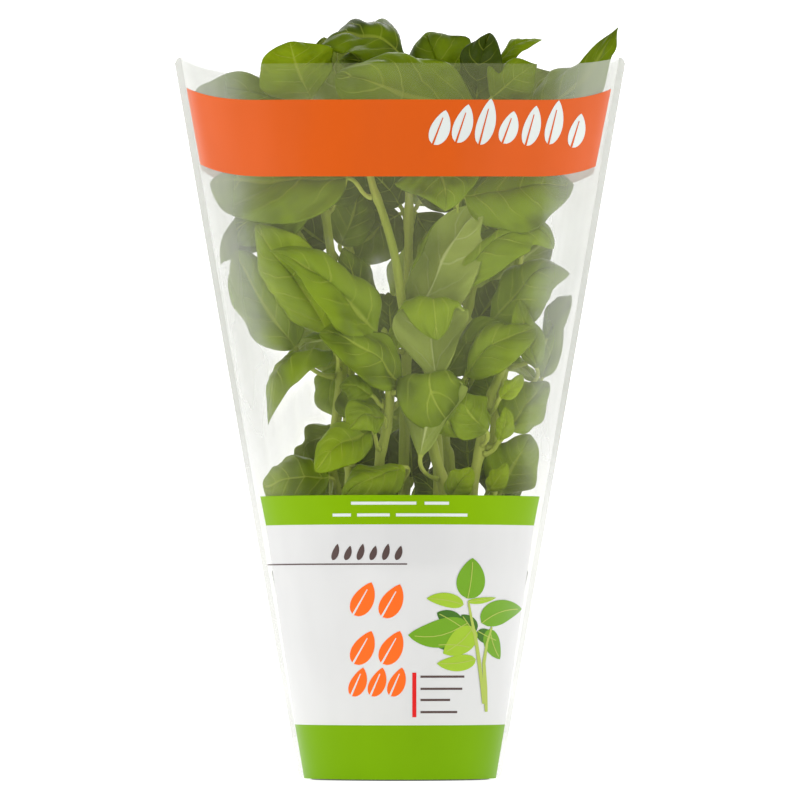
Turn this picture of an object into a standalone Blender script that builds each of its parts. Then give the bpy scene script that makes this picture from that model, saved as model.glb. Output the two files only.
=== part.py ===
"""Potted basil plant standing in a clear, welded film sleeve.

Origin at the middle of the pot's foot, +Z up, front of the sleeve towards -Y.
Sizes are in metres, except the plant's own tables, which are in millimetres.
"""
import math

import bmesh
import bpy
from mathutils import Vector
from mathutils.bvhtree import BVHTree

# Pot
POT_HEIGHT = 0.105
POT_RIM_RADIUS = 0.064
POT_BASE_RADIUS = 0.045
POT_WALL = 0.0014
RIM_HEIGHT = 0.009
RIM_OVERHANG = 0.0018
RIM_DRAFT = 0.0015
FOOT_WIDTH = 0.012
FOOT_HEIGHT = 0.002
DRAIN_COUNT = 6
DRAIN_RADIUS = 0.004
DRAIN_CIRCLE = 0.022
DRAIN_SEGMENTS = 12
POT_SEGMENTS = 40

# Soil
SOIL_BELOW_RIM = 0.012
SOIL_LUMP = 0.0009
SOIL_RINGS = 6
SOIL_SEGMENTS = 32

# Sleeve: two sheets of film welded along both sides, opened out round the pot
SLEEVE_HEIGHT = 0.361
SLEEVE_TOP_WIDTH = 0.226
SLEEVE_TOP_DEPTH = 0.124
SLEEVE_LIFT = 0.0005
FILM_THICKNESS = 0.0006
SEAM_WIDTH = 0.003
SEAM_THICKNESS = 0.0009
SEAM_CORNER_TOP = 0.0025
SEAM_CORNER_BOTTOM = 0.004
TOP_EDGE_DIP = 0.010
RIM_CLEARANCE = 0.0018
BASE_CLEARANCE = 0.0029
LEVELS_BY_POT = (0.0, 0.48, 1.0)
LEVELS_ABOVE_POT = (0.14, 0.29, 0.45, 0.61, 0.75, 0.88, 1.0)
SLEEVE_SEGMENTS = 40

# Plant
STEM_BASE_RADIUS = 0.0026
STEM_TIP_RADIUS = 0.0014
STEM_ROOT_DEPTH = 0.012
STEM_LAYOUT_RADIUS = 0.0588
SOCKET_REACH = 1.6
STEM_STEP = 0.013
STEM_SIDES = 6
PETIOLE_RADIUS = 0.0010
LEAF_THICKNESS = 0.0008
LEAF_STATIONS = (0.05, 0.18, 0.34, 0.5, 0.66, 0.83)
PETIOLE_STATIONS = (0.0, 0.3, 0.65)
PETIOLE_HOLD = 0.4
BLADE_WIDEST = 0.42
BLADE_BASE_POWER = 0.62
BLADE_TIP_POWER = 0.85
NODE_DROP = 0.6
FILM_REACH = 0.965
FILM_EASE = 0.09

# Fine gap kept between pieces that touch
GAP = 0.0003

SOIL_TOP = POT_HEIGHT - SOIL_BELOW_RIM

# Each stem's line: x, y from the pot's axis and height above the soil, in mm
STEMS = [
    [(-30, -12, 0), (-32, -16, 48), (-34, -18, 64), (-31, -15, 92), (-29, -12, 116), (-32, -12, 150),
     (-38, -10, 195), (-44, -6, 235), (-46, -2, 252)],
    [(-22, 6, 0), (-25, 8, 67), (-26, 8, 87), (-25, 5, 112), (-22, 2, 147), (-28, 3, 190), (-24, 6, 230),
     (-18, 8, 258)],
    [(14, -12, 0), (19, -14, 48), (18, -14, 82), (15, -16, 108), (6, -20, 127), (1.5, -24, 142),
     (-2.5, -26, 167), (-8, -26, 187), (-14, -25, 204), (-18, -22, 225), (-20, -20, 240)],
    [(4, 8, 0), (2, 6, 57), (3, 4, 107), (4, 2, 154), (4.5, 0, 190), (5, 0, 215), (8, 2, 250)],
    [(-10, -24, 0), (-10, -25, 50), (-10, -26, 67), (-7, -28, 80), (-5, -30, 100), (-8, -30, 132)],
    [(22, -24, 0), (22, -26, 48), (17, -27, 70), (13, -26, 95), (20, -20, 130), (26, -14, 170),
     (30, -10, 205), (34, -8, 236)],
    [(28, 4, 0), (25, 3, 62), (22, 2, 77), (25, 4, 107), (35, 8, 147), (42, 9, 187), (44, 8, 227),
     (44, 6, 252)],
    [(36, -20, 0), (36, -22, 48), (40, -24, 72), (45, -22, 97), (55, -16, 122), (62, -12, 150)],
    [(46, 2, 0), (46, 0, 47), (47, -2, 77), (51, 2, 107), (56, 3, 142), (62, 2, 185), (66, 0, 222)],
    [(-6, 30, 0), (-8, 34, 57), (-12, 36, 117), (-18, 34, 177), (-20, 30, 240)],
    [(30, 28, 0), (34, 32, 57), (38, 34, 117), (34, 34, 177), (28, 28, 245)],
]

# Each leaf: stem, foot of the blade, tip, width, way its upper side faces, arch along the midrib as a
# share of its length, curl of each half in radians. Places and widths in mm, heights above the soil.
LEAVES = [
    (1, (-44, -18, 246), (-55, -16, 275), 34, (0, -1, 0.2), 0.05, 0.3),
    (4, (2, 0, 268), (-41, 6, 275), 36, (0, -0.6, 1), 0.26, 0.5),
    (6, (38, -22, 240), (-31, -38, 258), 46, (0, -1, 0.35), 0.10, 0.4),
    (7, (31, 8, 249), (12, 14, 282), 40, (0, -1, 0.4), 0.06, 0.3),
    (6, (38, -6, 246), (44, -8, 280), 25, (-0.5, -1, 0), 0.05, 0.6),
    (7, (49, 2, 264), (71, 6, 278), 14, (0, -0.6, 1), 0.14, 0.4),
    (6, (46, -12, 247), (68, -16, 264), 26, (0, -1, 0.3), 0.06, 0.3),
    (9, (66, -6, 237), (110, -2, 284), 26, (-0.3, -1, 0.5), -0.03, 0.4),
    (1, (-50, 8, 240), (-104, 2, 252), 26, (0, -1, 0.6), 0.06, 0.4),
    (3, (-26, -28, 206), (-98, -6, 206), 56, (0, -1, 0.5), 0.06, 0.3),
    (1, (-45, -14, 196), (-91, -4, 178), 34, (0, -1, 0.6), 0.06, 0.4),
    (1, (-52, -20, 122), (-82, -12, 172), 33, (0, -1, 0.2), 0.05, 0.3),
    (1, (-36, -18, 130), (-74, -30, 180), 34, (-0.2, -1, 0.2), 0.06, 0.4),
    (5, (-12, -34, 129), (-65, -48, 172), 31, (0.4, -1, 0.5), 0.14, 0.5),
    (5, (0, -36, 104), (-37, -44, 130), 28, (0, -1, 0.6), 0.10, 0.4),
    (1, (-34, -20, 120), (-67, -34, 84), 27, (-0.6, -0.5, 1), 0.30, 0.5),
    (2, (-30, 4, 174), (-21, 2, 204), 24, (0, -1, 0), 0.05, 0.3),
    (3, (9, -14, 132), (39, -22, 193), 32, (0.6, 0.8, 0.2), -0.10, -0.6),
    (6, (32, -30, 197), (86, -22, 206), 44, (0, -1, 0.4), 0.06, 0.3),
    (6, (14, -32, 219), (24, -42, 190), 38, (0, -1, 0.2), 0.08, 0.3),
    (6, (30, -24, 152), (79, -30, 184), 30, (-0.3, -1, 0.5), 0.13, 0.5),
    (9, (46, -10, 136), (80, -16, 168), 30, (-0.4, -1, 0.3), 0.12, 0.4),
    (6, (18, -34, 105), (19, -50, 144), 34, (0, 1, 0.8), 0.26, 0.4),
    (7, (33, -22, 108), (67, -30, 131), 27, (-0.2, -1, 0.6), 0.15, 0.4),
    (7, (24, -14, 108), (50, -18, 136), 22, (-0.2, -1, 0.4), 0.08, 0.4),
    (8, (68, -20, 112), (58, -28, 145), 15, (-0.7, -1, 0.3), 0.10, 0.4),
    (9, (71, 2, 108), (82, 2, 146), 18, (0, -1, 0.2), 0.12, 0.4),
    (6, (10, -40, 67), (7, -54, 102), 36, (0.3, 1, 0.7), 0.28, 0.5),
    (8, (43, -34, 80), (28, -38, 100), 24, (0, -1, 0.4), 0.08, 0.4),
    (8, (54, -24, 81), (74, -20, 106), 28, (0, -1, 0.2), 0.06, 0.3),
    (9, (50, -18, 50), (66, -20, 78), 24, (0.2, -1, 0), 0.06, 0.3),
    (5, (-15, -40, 80), (-42, -52, 62), 26, (0, -1, 0.8), 0.15, 0.4),
    (5, (-8, -35, 87), (-25, -40, 82), 14, (0, -1, 0.5), 0.05, 0.3),
    (1, (-35, -28, 57), (-72, -22, 52), 38, (0, -1, 0.5), 0.08, 0.3),
    (5, (2, -42, 62), (-30, -50, 49), 24, (0, -1, 0.7), 0.10, 0.4),
    (2, (-16, -12, 137), (-27, -18, 172), 20, (0, -1, 0.2), 0.06, 0.4),
    (4, (0, 12, 190), (-26, 16, 168), 34, (0, -1, 0.5), 0.08, 0.4),
    (4, (8, 6, 190), (24, 12, 164), 26, (0, -1, 0.5), 0.08, 0.4),
    (10, (-20, 38, 120), (-58, 44, 140), 34, (0, 1, 0.4), 0.08, 0.4),
    (10, (-4, 42, 150), (28, 52, 175), 34, (0, 1, 0.5), 0.10, 0.4),
    (10, (-26, 36, 200), (-74, 36, 222), 38, (-0.2, 1, 0.5), 0.08, 0.4),
    (11, (42, 38, 150), (78, 30, 178), 34, (0.3, 1, 0.4), 0.08, 0.4),
    (11, (30, 40, 200), (-6, 52, 228), 36, (0, 1, 0.4), 0.10, 0.4),
    (11, (40, 34, 230), (84, 22, 258), 36, (0.3, 1, 0.5), 0.08, 0.4),
    (10, (-14, 36, 235), (-40, 34, 280), 34, (0, 1, 0.3), 0.08, 0.4),
    (11, (24, 38, 95), (-6, 52, 70), 30, (0, 1, 0.3), 0.10, 0.4),
]

# Where a leaf would touch a neighbour it is moved in depth by these steps, in mm, and then made smaller
DEPTH_STEPS = (0, -3, 3, -6, 6, -9, 9, -12, 12, -16, 16, -20, 20)
SIZE_STEPS = (1.0, 0.88, 0.76, 0.64, 0.52)


def clear_scene():
    for obj in list(bpy.data.objects):
        bpy.data.objects.remove(obj, do_unlink=True)


def make_material(name, colour, roughness, alpha=1.0):
    material = bpy.data.materials.new(name)
    material.use_nodes = True
    shader = material.node_tree.nodes["Principled BSDF"]
    shader.inputs["Base Color"].default_value = (*colour, 1.0)
    shader.inputs["Roughness"].default_value = roughness
    shader.inputs["Metallic"].default_value = 0.0
    shader.inputs["Alpha"].default_value = alpha
    return material


def make_object(name, points, faces, material, sharp_angle=50):
    """One closed body with its faces turned outwards."""
    mesh = bpy.data.meshes.new(name)
    mesh.from_pydata(points, [], faces)
    work = bmesh.new()
    work.from_mesh(mesh)
    bmesh.ops.recalc_face_normals(work, faces=work.faces)
    work.to_mesh(mesh)
    work.free()
    mesh.shade_smooth()
    mesh.set_sharp_from_angle(angle=math.radians(sharp_angle))
    mesh.materials.append(material)
    obj = bpy.data.objects.new(name, mesh)
    bpy.context.scene.collection.objects.link(obj)
    return obj


def loft(loops, close_start=True, close_end=True):
    """Points and faces of a solid through equal loops of points."""
    size = len(loops[0])
    points = [point for loop in loops for point in loop]
    faces = []
    for ring in range(len(loops) - 1):
        for k in range(size):
            a = ring * size + k
            b = ring * size + (k + 1) % size
            faces.append((a, b, b + size, a + size))
    if close_start:
        faces.append(tuple(range(size)))
    if close_end:
        faces.append(tuple(range(len(points) - size, len(points))))
    return points, faces


def revolve(profile, segments):
    """Points and faces of a profile of (radius, height) turned about Z; radius 0 makes a pole."""
    points = []
    rings = []
    for radius, height in profile:
        if radius == 0.0:
            rings.append([len(points)] * segments)
            points.append(Vector((0, 0, height)))
            continue
        rings.append(list(range(len(points), len(points) + segments)))
        for k in range(segments):
            angle = math.tau * k / segments
            points.append(Vector((radius * math.cos(angle), radius * math.sin(angle), height)))
    faces = []
    for low, high in zip(rings, rings[1:]):
        for k in range(segments):
            n = (k + 1) % segments
            corners = []
            for index in (low[k], low[n], high[n], high[k]):
                if index not in corners:
                    corners.append(index)
            faces.append(tuple(corners))
    return points, faces


# ---------------------------------------------------------------- pot and soil

def pot_wall_radius(height):
    """Outside of the pot's wall, below the rim."""
    top = POT_RIM_RADIUS - RIM_OVERHANG
    return POT_BASE_RADIUS + (top - POT_BASE_RADIUS) * height / POT_HEIGHT


def make_pot():
    rim_low = POT_HEIGHT - RIM_HEIGHT
    foot_inner = POT_BASE_RADIUS - FOOT_WIDTH
    profile = [
        (0.0, FOOT_HEIGHT),
        (foot_inner - FOOT_HEIGHT, FOOT_HEIGHT),
        (foot_inner, 0.0),
        (POT_BASE_RADIUS - POT_WALL / 2, 0.0),
        (pot_wall_radius(POT_WALL / 2), POT_WALL / 2),
        (pot_wall_radius(rim_low), rim_low),
        (POT_RIM_RADIUS - RIM_DRAFT, rim_low),
        (POT_RIM_RADIUS, POT_HEIGHT - POT_WALL),
        (POT_RIM_RADIUS - POT_WALL / 2, POT_HEIGHT),
        (pot_wall_radius(POT_HEIGHT) - POT_WALL / 2, POT_HEIGHT),
        (pot_wall_radius(rim_low) - POT_WALL, rim_low),
        (pot_wall_radius(POT_WALL) - POT_WALL, POT_WALL),
        (foot_inner, POT_WALL),
        (foot_inner - FOOT_HEIGHT, FOOT_HEIGHT + POT_WALL),
        (0.0, FOOT_HEIGHT + POT_WALL),
    ]
    plastic = make_material("pot_plastic", (0.045, 0.043, 0.04), 0.55)
    pot = make_object("pot", *revolve(profile, POT_SEGMENTS), plastic)
    points = []
    faces = []
    for k in range(DRAIN_COUNT):
        angle = math.tau * (k + 0.5) / DRAIN_COUNT
        centre = Vector((DRAIN_CIRCLE * math.cos(angle), DRAIN_CIRCLE * math.sin(angle), 0.0))
        reach = FOOT_HEIGHT + POT_WALL
        hole = [(0.0, -reach), (DRAIN_RADIUS, -reach), (DRAIN_RADIUS, 2 * reach), (0.0, 2 * reach)]
        hole_points, hole_faces = revolve(hole, DRAIN_SEGMENTS)
        faces += [tuple(index + len(points) for index in face) for face in hole_faces]
        points += [point + centre for point in hole_points]
    cut(pot, make_cutter("drain_cutter", points, faces))
    return pot


def make_cutter(name, points, faces):
    cutter = make_object(name, points, faces, None)
    cutter.hide_render = True
    cutter.display_type = "WIRE"
    return cutter


def cut(obj, cutter):
    boolean = obj.modifiers.new("cut", "BOOLEAN")
    boolean.operation = "DIFFERENCE"
    boolean.solver = "EXACT"
    boolean.object = cutter


def soil_height(x, y):
    """Gently lumpy top of the soil."""
    waves = math.sin(x * 210 + 1.3) * math.cos(y * 170 + 0.4) + 0.6 * math.sin(x * 90 - y * 130 + 2.0)
    return SOIL_TOP + SOIL_LUMP * waves


def soil_radius(height):
    return pot_wall_radius(height) - POT_WALL - GAP * 2


def make_soil(stem_lines):
    edge = soil_radius(SOIL_TOP)
    floor = POT_WALL + FOOT_HEIGHT + GAP
    profile = [(edge * k / SOIL_RINGS, SOIL_TOP) for k in range(SOIL_RINGS + 1)]
    profile += [(soil_radius(floor), floor), (0.0, floor)]
    points, faces = revolve(profile, SOIL_SEGMENTS)
    for point in points:
        if point.z == SOIL_TOP:
            point.z = soil_height(point.x, point.y)
    soil = make_object("soil", points, faces, make_material("soil", (0.035, 0.022, 0.014), 0.95))
    cutter_points = []
    cutter_faces = []
    for line in stem_lines:
        foot = line[0]
        reach = [foot - Vector((0, 0, GAP)), foot + (line[1] - line[0]) * SOCKET_REACH]
        socket_points, socket_faces = tube(reach, [STEM_BASE_RADIUS + 2 * GAP] * 2)
        cutter_faces += [tuple(i + len(cutter_points) for i in face) for face in socket_faces]
        cutter_points += socket_points
    cut(soil, make_cutter("stem_socket_cutter", cutter_points, cutter_faces))
    return soil


# ---------------------------------------------------------------- sleeve

def between(a, b, share):
    return a + (b - a) * min(max(share, 0.0), 1.0)


def film_section(height):
    """Half width and half depth of the inside of the film at a height."""
    base = POT_BASE_RADIUS + BASE_CLEARANCE
    rim = POT_RIM_RADIUS + RIM_CLEARANCE
    top_width = SLEEVE_TOP_WIDTH / 2 - SEAM_WIDTH - FILM_THICKNESS
    top_depth = SLEEVE_TOP_DEPTH / 2 - FILM_THICKNESS
    if height < POT_HEIGHT:
        radius = between(base, rim, height / POT_HEIGHT)
        return radius, radius
    share = (height - POT_HEIGHT) / (SLEEVE_HEIGHT - POT_HEIGHT)
    return between(rim, top_width, share), between(rim, top_depth, share)


def film_level(share, angle):
    """Height on the film: cut straight, the sheets dip between the seams once they are opened out."""
    height = SLEEVE_LIFT + (SLEEVE_HEIGHT - SLEEVE_LIFT) * share
    return height - TOP_EDGE_DIP * share ** 2 * abs(math.sin(angle))


def sleeve_levels():
    """Shares of the sleeve's height that carry a ring of points, one of them always at the pot's rim."""
    pot_share = (POT_HEIGHT - SLEEVE_LIFT) / (SLEEVE_HEIGHT - SLEEVE_LIFT)
    by_pot = [share * pot_share for share in LEVELS_BY_POT]
    return by_pot + [pot_share + (1 - pot_share) * share for share in LEVELS_ABOVE_POT]


def make_sleeve():
    """Round the film, inside and outside, with a flat fin of welded film at each side."""
    half = SLEEVE_SEGMENTS // 2
    levels = sleeve_levels()
    points = []
    inner = []
    outer = []
    for share in levels:
        inner_ring = []
        outer_ring = []
        for k in range(SLEEVE_SEGMENTS):
            angle = math.tau * k / SLEEVE_SEGMENTS
            height = film_level(share, angle)
            width, depth = film_section(height)
            inner_ring.append(len(points))
            points.append(Vector((width * math.cos(angle), depth * math.sin(angle), height)))
            outer_x = (width + FILM_THICKNESS) * math.cos(angle)
            outer_y = (depth + FILM_THICKNESS) * math.sin(angle)
            if k % half:
                outer_ring.append(len(points))
                points.append(Vector((outer_x, outer_y, height)))
                continue
            side = 1 if k == 0 else -1
            tip_height = height
            if share == levels[-1]:
                tip_height -= SEAM_CORNER_TOP
            if share == levels[0]:
                tip_height += SEAM_CORNER_BOTTOM
            fin = SEAM_THICKNESS / 2
            tip_x = side * (width + FILM_THICKNESS + SEAM_WIDTH)
            fin_points = [(outer_x, -side * fin, height), (tip_x, -side * fin, tip_height),
                          (tip_x, side * fin, tip_height), (outer_x, side * fin, height)]
            for place in fin_points:
                outer_ring.append(len(points))
                points.append(Vector(place))
        inner.append(inner_ring)
        outer.append(outer_ring)
    faces = []
    for rings in (inner, outer):
        for low, high in zip(rings, rings[1:]):
            for k in range(len(low)):
                n = (k + 1) % len(low)
                faces.append((low[k], low[n], high[n], high[k]))
    for level in (0, -1):
        faces += edge_faces(inner[level], outer[level], half)
    film = make_material("sleeve_film", (0.93, 0.93, 0.9), 0.2, 0.25)
    return make_object("sleeve", points, faces, film, 30)


def edge_faces(inner_ring, outer_ring, half):
    """Cut edge of the film between its inside and its outside, fins included."""
    faces = []
    reached = 0
    for k in range(len(inner_ring)):
        n = (k + 1) % len(inner_ring)
        if k % half == 0:
            a, b, c, d = (outer_ring[reached + step] for step in range(4))
            faces += [(a, b, c, d), (inner_ring[k], a, d)]
            reached += 3
        following = (reached + 1) % len(outer_ring)
        faces.append((inner_ring[k], inner_ring[n], outer_ring[following], outer_ring[reached]))
        reached += 1
    return faces


# ---------------------------------------------------------------- plant

def keep_inside(point):
    """Press a point that would pass the film back inside it, as the sleeve does with the leaves."""
    width, depth = film_section(point.z)
    over = max(0.0, point.z - SLEEVE_HEIGHT)
    width += over
    depth += over
    reach = math.hypot(point.x / width, point.y / depth)
    start = FILM_REACH - FILM_EASE
    if reach <= start:
        return point
    pressed = start + FILM_EASE * math.tanh((reach - start) / FILM_EASE)
    return Vector((point.x * pressed / reach, point.y * pressed / reach, point.z))


def smooth_line(knots, step):
    """Even points along a smooth curve through the knots."""
    ends = [knots[0] * 2 - knots[1]] + knots + [knots[-1] * 2 - knots[-2]]
    dense = []
    for k in range(1, len(ends) - 2):
        for s in range(12):
            t = s / 12
            dense.append(0.5 * (2 * ends[k] + (ends[k + 1] - ends[k - 1]) * t
                                + (2 * ends[k - 1] - 5 * ends[k] + 4 * ends[k + 1] - ends[k + 2]) * t * t
                                + (3 * ends[k] - ends[k - 1] - 3 * ends[k + 1] + ends[k + 2]) * t ** 3))
    dense.append(knots[-1])
    lengths = [0.0]
    for a, b in zip(dense, dense[1:]):
        lengths.append(lengths[-1] + (b - a).length)
    count = max(2, round(lengths[-1] / step))
    line = []
    k = 0
    for index in range(count + 1):
        target = lengths[-1] * index / count
        while k < len(dense) - 2 and lengths[k + 1] < target:
            k += 1
        share = (target - lengths[k]) / max(lengths[k + 1] - lengths[k], 1e-9)
        line.append(dense[k].lerp(dense[k + 1], min(share, 1.0)))
    return line


def frames_along(line, first_side):
    """Tangent and side at each point, turned as little as possible from point to point."""
    frames = []
    side = first_side
    previous = None
    for k in range(len(line)):
        tangent = (line[min(k + 1, len(line) - 1)] - line[max(k - 1, 0)]).normalized()
        if previous is not None:
            side = previous.rotation_difference(tangent) @ side
        side = (side - tangent * side.dot(tangent)).normalized()
        frames.append((tangent, side))
        previous = tangent
    return frames


def tube(line, radii, sides=STEM_SIDES):
    loops = []
    for point, radius, (tangent, side) in zip(line, radii, frames_along(line, Vector((1, 0, 0)))):
        up = tangent.cross(side)
        loop = []
        for k in range(sides):
            angle = math.tau * (k + 0.5) / sides
            loop.append(point + radius * (math.cos(angle) * side + math.sin(angle) * up))
        loops.append(loop)
    return loft(loops)


def stem_line(knots):
    """Centre line of a stem, from its foot in the soil to its tip."""
    knots = [Vector((x, y, z)) * 0.001 + Vector((0, 0, SOIL_TOP)) for x, y, z in knots]
    spread = soil_radius(SOIL_TOP) / STEM_LAYOUT_RADIUS
    knots[0].x *= spread
    knots[0].y *= spread
    foot = knots[0] - Vector((0, 0, STEM_ROOT_DEPTH))
    return smooth_line([foot] + [keep_inside(knot) for knot in knots], STEM_STEP)


def stem_radius(line, index):
    share = index / (len(line) - 1)
    return STEM_BASE_RADIUS + (STEM_TIP_RADIUS - STEM_BASE_RADIUS) * share ** 2


def stem_point(line, height):
    """Place and radius of a stem at a height."""
    height = min(max(height, SOIL_TOP + 3 * STEM_BASE_RADIUS), line[-1].z - STEM_TIP_RADIUS)
    for k in range(len(line) - 1):
        if line[k + 1].z >= height:
            share = (height - line[k].z) / (line[k + 1].z - line[k].z)
            return line[k].lerp(line[k + 1], share), stem_radius(line, k)
    return line[-1], STEM_TIP_RADIUS


def blade_share(t):
    """Half width of a basil blade along its midrib, from 0 to 1: egg-shaped with a drawn-out tip."""
    return (t / BLADE_WIDEST) ** BLADE_BASE_POWER * ((1 - t) / (1 - BLADE_WIDEST)) ** BLADE_TIP_POWER


def leaf_solid(stem, foot, tip, width, face, arch, curl, grow=0.0):
    """One leaf: a round petiole that starts at the stem and widens into a thin, curled blade."""
    chord = tip - foot
    axis = chord.normalized()
    normal = (face - axis * face.dot(axis)).normalized()
    bend = (foot + tip) / 2 + normal * 2 * arch * chord.length

    def midrib(t):
        return foot * (1 - t) ** 2 + bend * 2 * t * (1 - t) + tip * t * t

    reach = math.hypot(foot.x - stem[len(stem) // 2].x, foot.y - stem[len(stem) // 2].y)
    for _ in range(3):
        centre, radius = stem_point(stem, foot.z - NODE_DROP * reach)
        reach = math.hypot(foot.x - centre.x, foot.y - centre.y)
    out = Vector((foot.x - centre.x, foot.y - centre.y, 0.0)).normalized()
    start = centre + out * (radius + GAP + PETIOLE_RADIUS / 2)
    hold = (foot - start).length * PETIOLE_HOLD
    lead = start + out * hold
    land = foot - (bend - foot).normalized() * hold

    def petiole(t):
        return (start * (1 - t) ** 3 + lead * 3 * t * (1 - t) ** 2
                + land * 3 * t * t * (1 - t) + foot * t ** 3)

    line = [petiole(t) for t in PETIOLE_STATIONS] + [midrib(t) for t in LEAF_STATIONS]
    back = frames_along(line[::-1], normal.cross(axis))[::-1]
    loops = []
    for k, point in enumerate(line):
        tangent = back[k][0] * -1
        side = back[k][1]
        if k == 0:
            tangent = out
            side = (side - tangent * side.dot(tangent)).normalized()
        up = tangent.cross(side)
        if k < len(PETIOLE_STATIONS):
            half = PETIOLE_RADIUS + grow
            thick = half
            turn = 0.0
        else:
            t = LEAF_STATIONS[k - len(PETIOLE_STATIONS)]
            half = max(PETIOLE_RADIUS, width / 2 * blade_share(t)) + grow
            thick = LEAF_THICKNESS / 2 + grow
            turn = curl
        loops.append([keep_inside(point + place) for place in section(half, thick, turn, side, up)])
    tip_point = keep_inside(tip)
    points, faces = loft(loops, close_end=False)
    last = len(points) - 8
    points.append(tip_point)
    faces += [(last + k, last + (k + 1) % 8, len(points) - 1) for k in range(8)]
    return points, faces


def section(half, thick, curl, side, up):
    """Eight points round a leaf: right edge, over the top, left edge, and back underneath."""
    if half <= thick * 1.01:
        angles = [math.tau * k / 8 for k in range(8)]
        return [side * half * math.cos(a) + up * thick * math.sin(a) for a in angles]
    places = []
    for across, lift in ((1, 0), (0.5, 0.8), (0, 1), (-0.5, 0.8), (-1, 0), (-0.5, -0.8), (0, -1), (0.5, -0.8)):
        angle = across * curl
        along = half * (math.sin(angle) / curl if curl else across)
        drop = half * ((1 - math.cos(angle)) / curl if curl else 0.0)
        places.append(side * along - up * drop + up * thick * lift)
    return places


def tree_of(points, faces):
    triangles = []
    for face in faces:
        triangles += [(face[0], face[k], face[k + 1]) for k in range(1, len(face) - 1)]
    return BVHTree.FromPolygons(points, triangles, all_triangles=True)


def leaf_tries(row):
    """The leaf as laid out, then the nearest places in depth, then the same a little smaller."""
    _, foot, tip, width, face, arch, curl = row
    foot = Vector(foot) * 0.001 + Vector((0, 0, SOIL_TOP))
    tip = Vector(tip) * 0.001 + Vector((0, 0, SOIL_TOP))
    moves = [(a, b) for a in DEPTH_STEPS for b in DEPTH_STEPS]
    moves.sort(key=lambda move: abs(move[0]) + abs(move[1]) + 0.5 * abs(move[0] - move[1]))
    for size in SIZE_STEPS:
        for foot_move, tip_move in moves:
            new_foot = foot + Vector((0, foot_move * 0.001, 0))
            new_tip = new_foot + (tip + Vector((0, tip_move * 0.001, 0)) - new_foot) * size
            yield new_foot, new_tip, width * 0.001 * size, Vector(face), arch, curl


def place_leaf(row, stems, trees):
    """First of the tries that keeps its gap to all that stands already."""
    stem_number = row[0]
    own_stem = trees[stem_number - 1]
    for number, attempt in enumerate(leaf_tries(row)):
        points, faces = leaf_solid(stems[stem_number - 1], *attempt)
        if tree_of(points, faces).overlap(own_stem):
            continue
        grown = tree_of(*leaf_solid(stems[stem_number - 1], *attempt, grow=GAP))
        if any(grown.overlap(tree) for tree in trees if tree is not own_stem):
            continue
        return number, points, faces
    raise ValueError("no room for a leaf at %s" % (row[1],))


def make_plant():
    green = make_material("stem_green", (0.27, 0.36, 0.09), 0.5)
    leaf_green = make_material("leaf_green", (0.10, 0.22, 0.025), 0.4)
    stems = [stem_line(knots) for knots in STEMS]
    trees = []
    for number, line in enumerate(stems, 1):
        radii = [stem_radius(line, k) for k in range(len(line))]
        points, faces = tube(line, radii)
        make_object("stem_%02d" % number, points, faces, green)
        trees.append(tree_of(points, faces))
    for number, row in enumerate(LEAVES, 1):
        chosen, points, faces = place_leaf(row, stems, trees)
        make_object("leaf_%02d" % number, points, faces, leaf_green, 70)
        trees.append(tree_of(points, faces))
        print("leaf", number, "try", chosen)
    return stems


clear_scene()
stem_lines = make_plant()
make_soil(stem_lines)
make_pot()
make_sleeve()
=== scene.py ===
import math
import random

import bpy
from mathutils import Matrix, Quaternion, Vector, kdtree, noise
from mathutils.bvhtree import BVHTree


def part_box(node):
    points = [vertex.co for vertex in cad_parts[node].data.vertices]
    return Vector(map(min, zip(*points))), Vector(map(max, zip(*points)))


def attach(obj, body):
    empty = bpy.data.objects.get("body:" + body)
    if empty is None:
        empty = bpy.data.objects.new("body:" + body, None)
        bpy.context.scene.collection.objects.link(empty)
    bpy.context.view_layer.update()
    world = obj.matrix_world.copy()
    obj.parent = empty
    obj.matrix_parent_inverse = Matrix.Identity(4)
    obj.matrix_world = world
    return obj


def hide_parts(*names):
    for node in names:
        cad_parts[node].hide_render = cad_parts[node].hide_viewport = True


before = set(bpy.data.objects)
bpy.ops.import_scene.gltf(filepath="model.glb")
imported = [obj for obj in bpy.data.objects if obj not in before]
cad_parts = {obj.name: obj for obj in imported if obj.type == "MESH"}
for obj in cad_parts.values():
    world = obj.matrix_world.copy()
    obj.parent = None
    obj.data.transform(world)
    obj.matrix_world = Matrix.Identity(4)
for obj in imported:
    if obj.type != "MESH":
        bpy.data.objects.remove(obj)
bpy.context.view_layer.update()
print("frame loaded, nodes:", len(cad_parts))

mm = 0.001
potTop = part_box("pot")[1]
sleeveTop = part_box("sleeve")[1]


# share of the way from a to b, kept between them
def between(a, b, share):
    return a + (b - a) * min(max(share, 0.0), 1.0)


def smooth(low, high, value):
    t = min(max((value - low) / (high - low), 0.0), 1.0)
    return t * t * (3 - 2 * t)


# sRGB bytes to the linear colour a shader wants
def tint(red, green, blue):
    linear = []
    for part in (red, green, blue):
        part /= 255
        linear.append(part / 12.92 if part < 0.04045 else ((part + 0.055) / 1.055) ** 2.4)
    return (*linear, 1.0)


# new object riding on the root body; uvs and floats have one entry for each point
def meshPiece(name, points, faces, materials, uvs=None, faceSlots=None, floats=None):
    mesh = bpy.data.meshes.new(name)
    mesh.from_pydata(points, [], faces)
    for material in materials:
        mesh.materials.append(material)
    if faceSlots:
        mesh.polygons.foreach_set("material_index", faceSlots)
    if uvs:
        layer = mesh.uv_layers.new(name="across")
        for loop in mesh.loops:
            layer.data[loop.index].uv = uvs[loop.vertex_index]
    for key, values in (floats or {}).items():
        mesh.attributes.new(key, "FLOAT", "POINT").data.foreach_set("value", values)
    mesh.shade_smooth()
    mesh.update()
    piece = bpy.data.objects.new(name, mesh)
    bpy.context.scene.collection.objects.link(piece)
    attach(piece, "root")
    return piece


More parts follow.
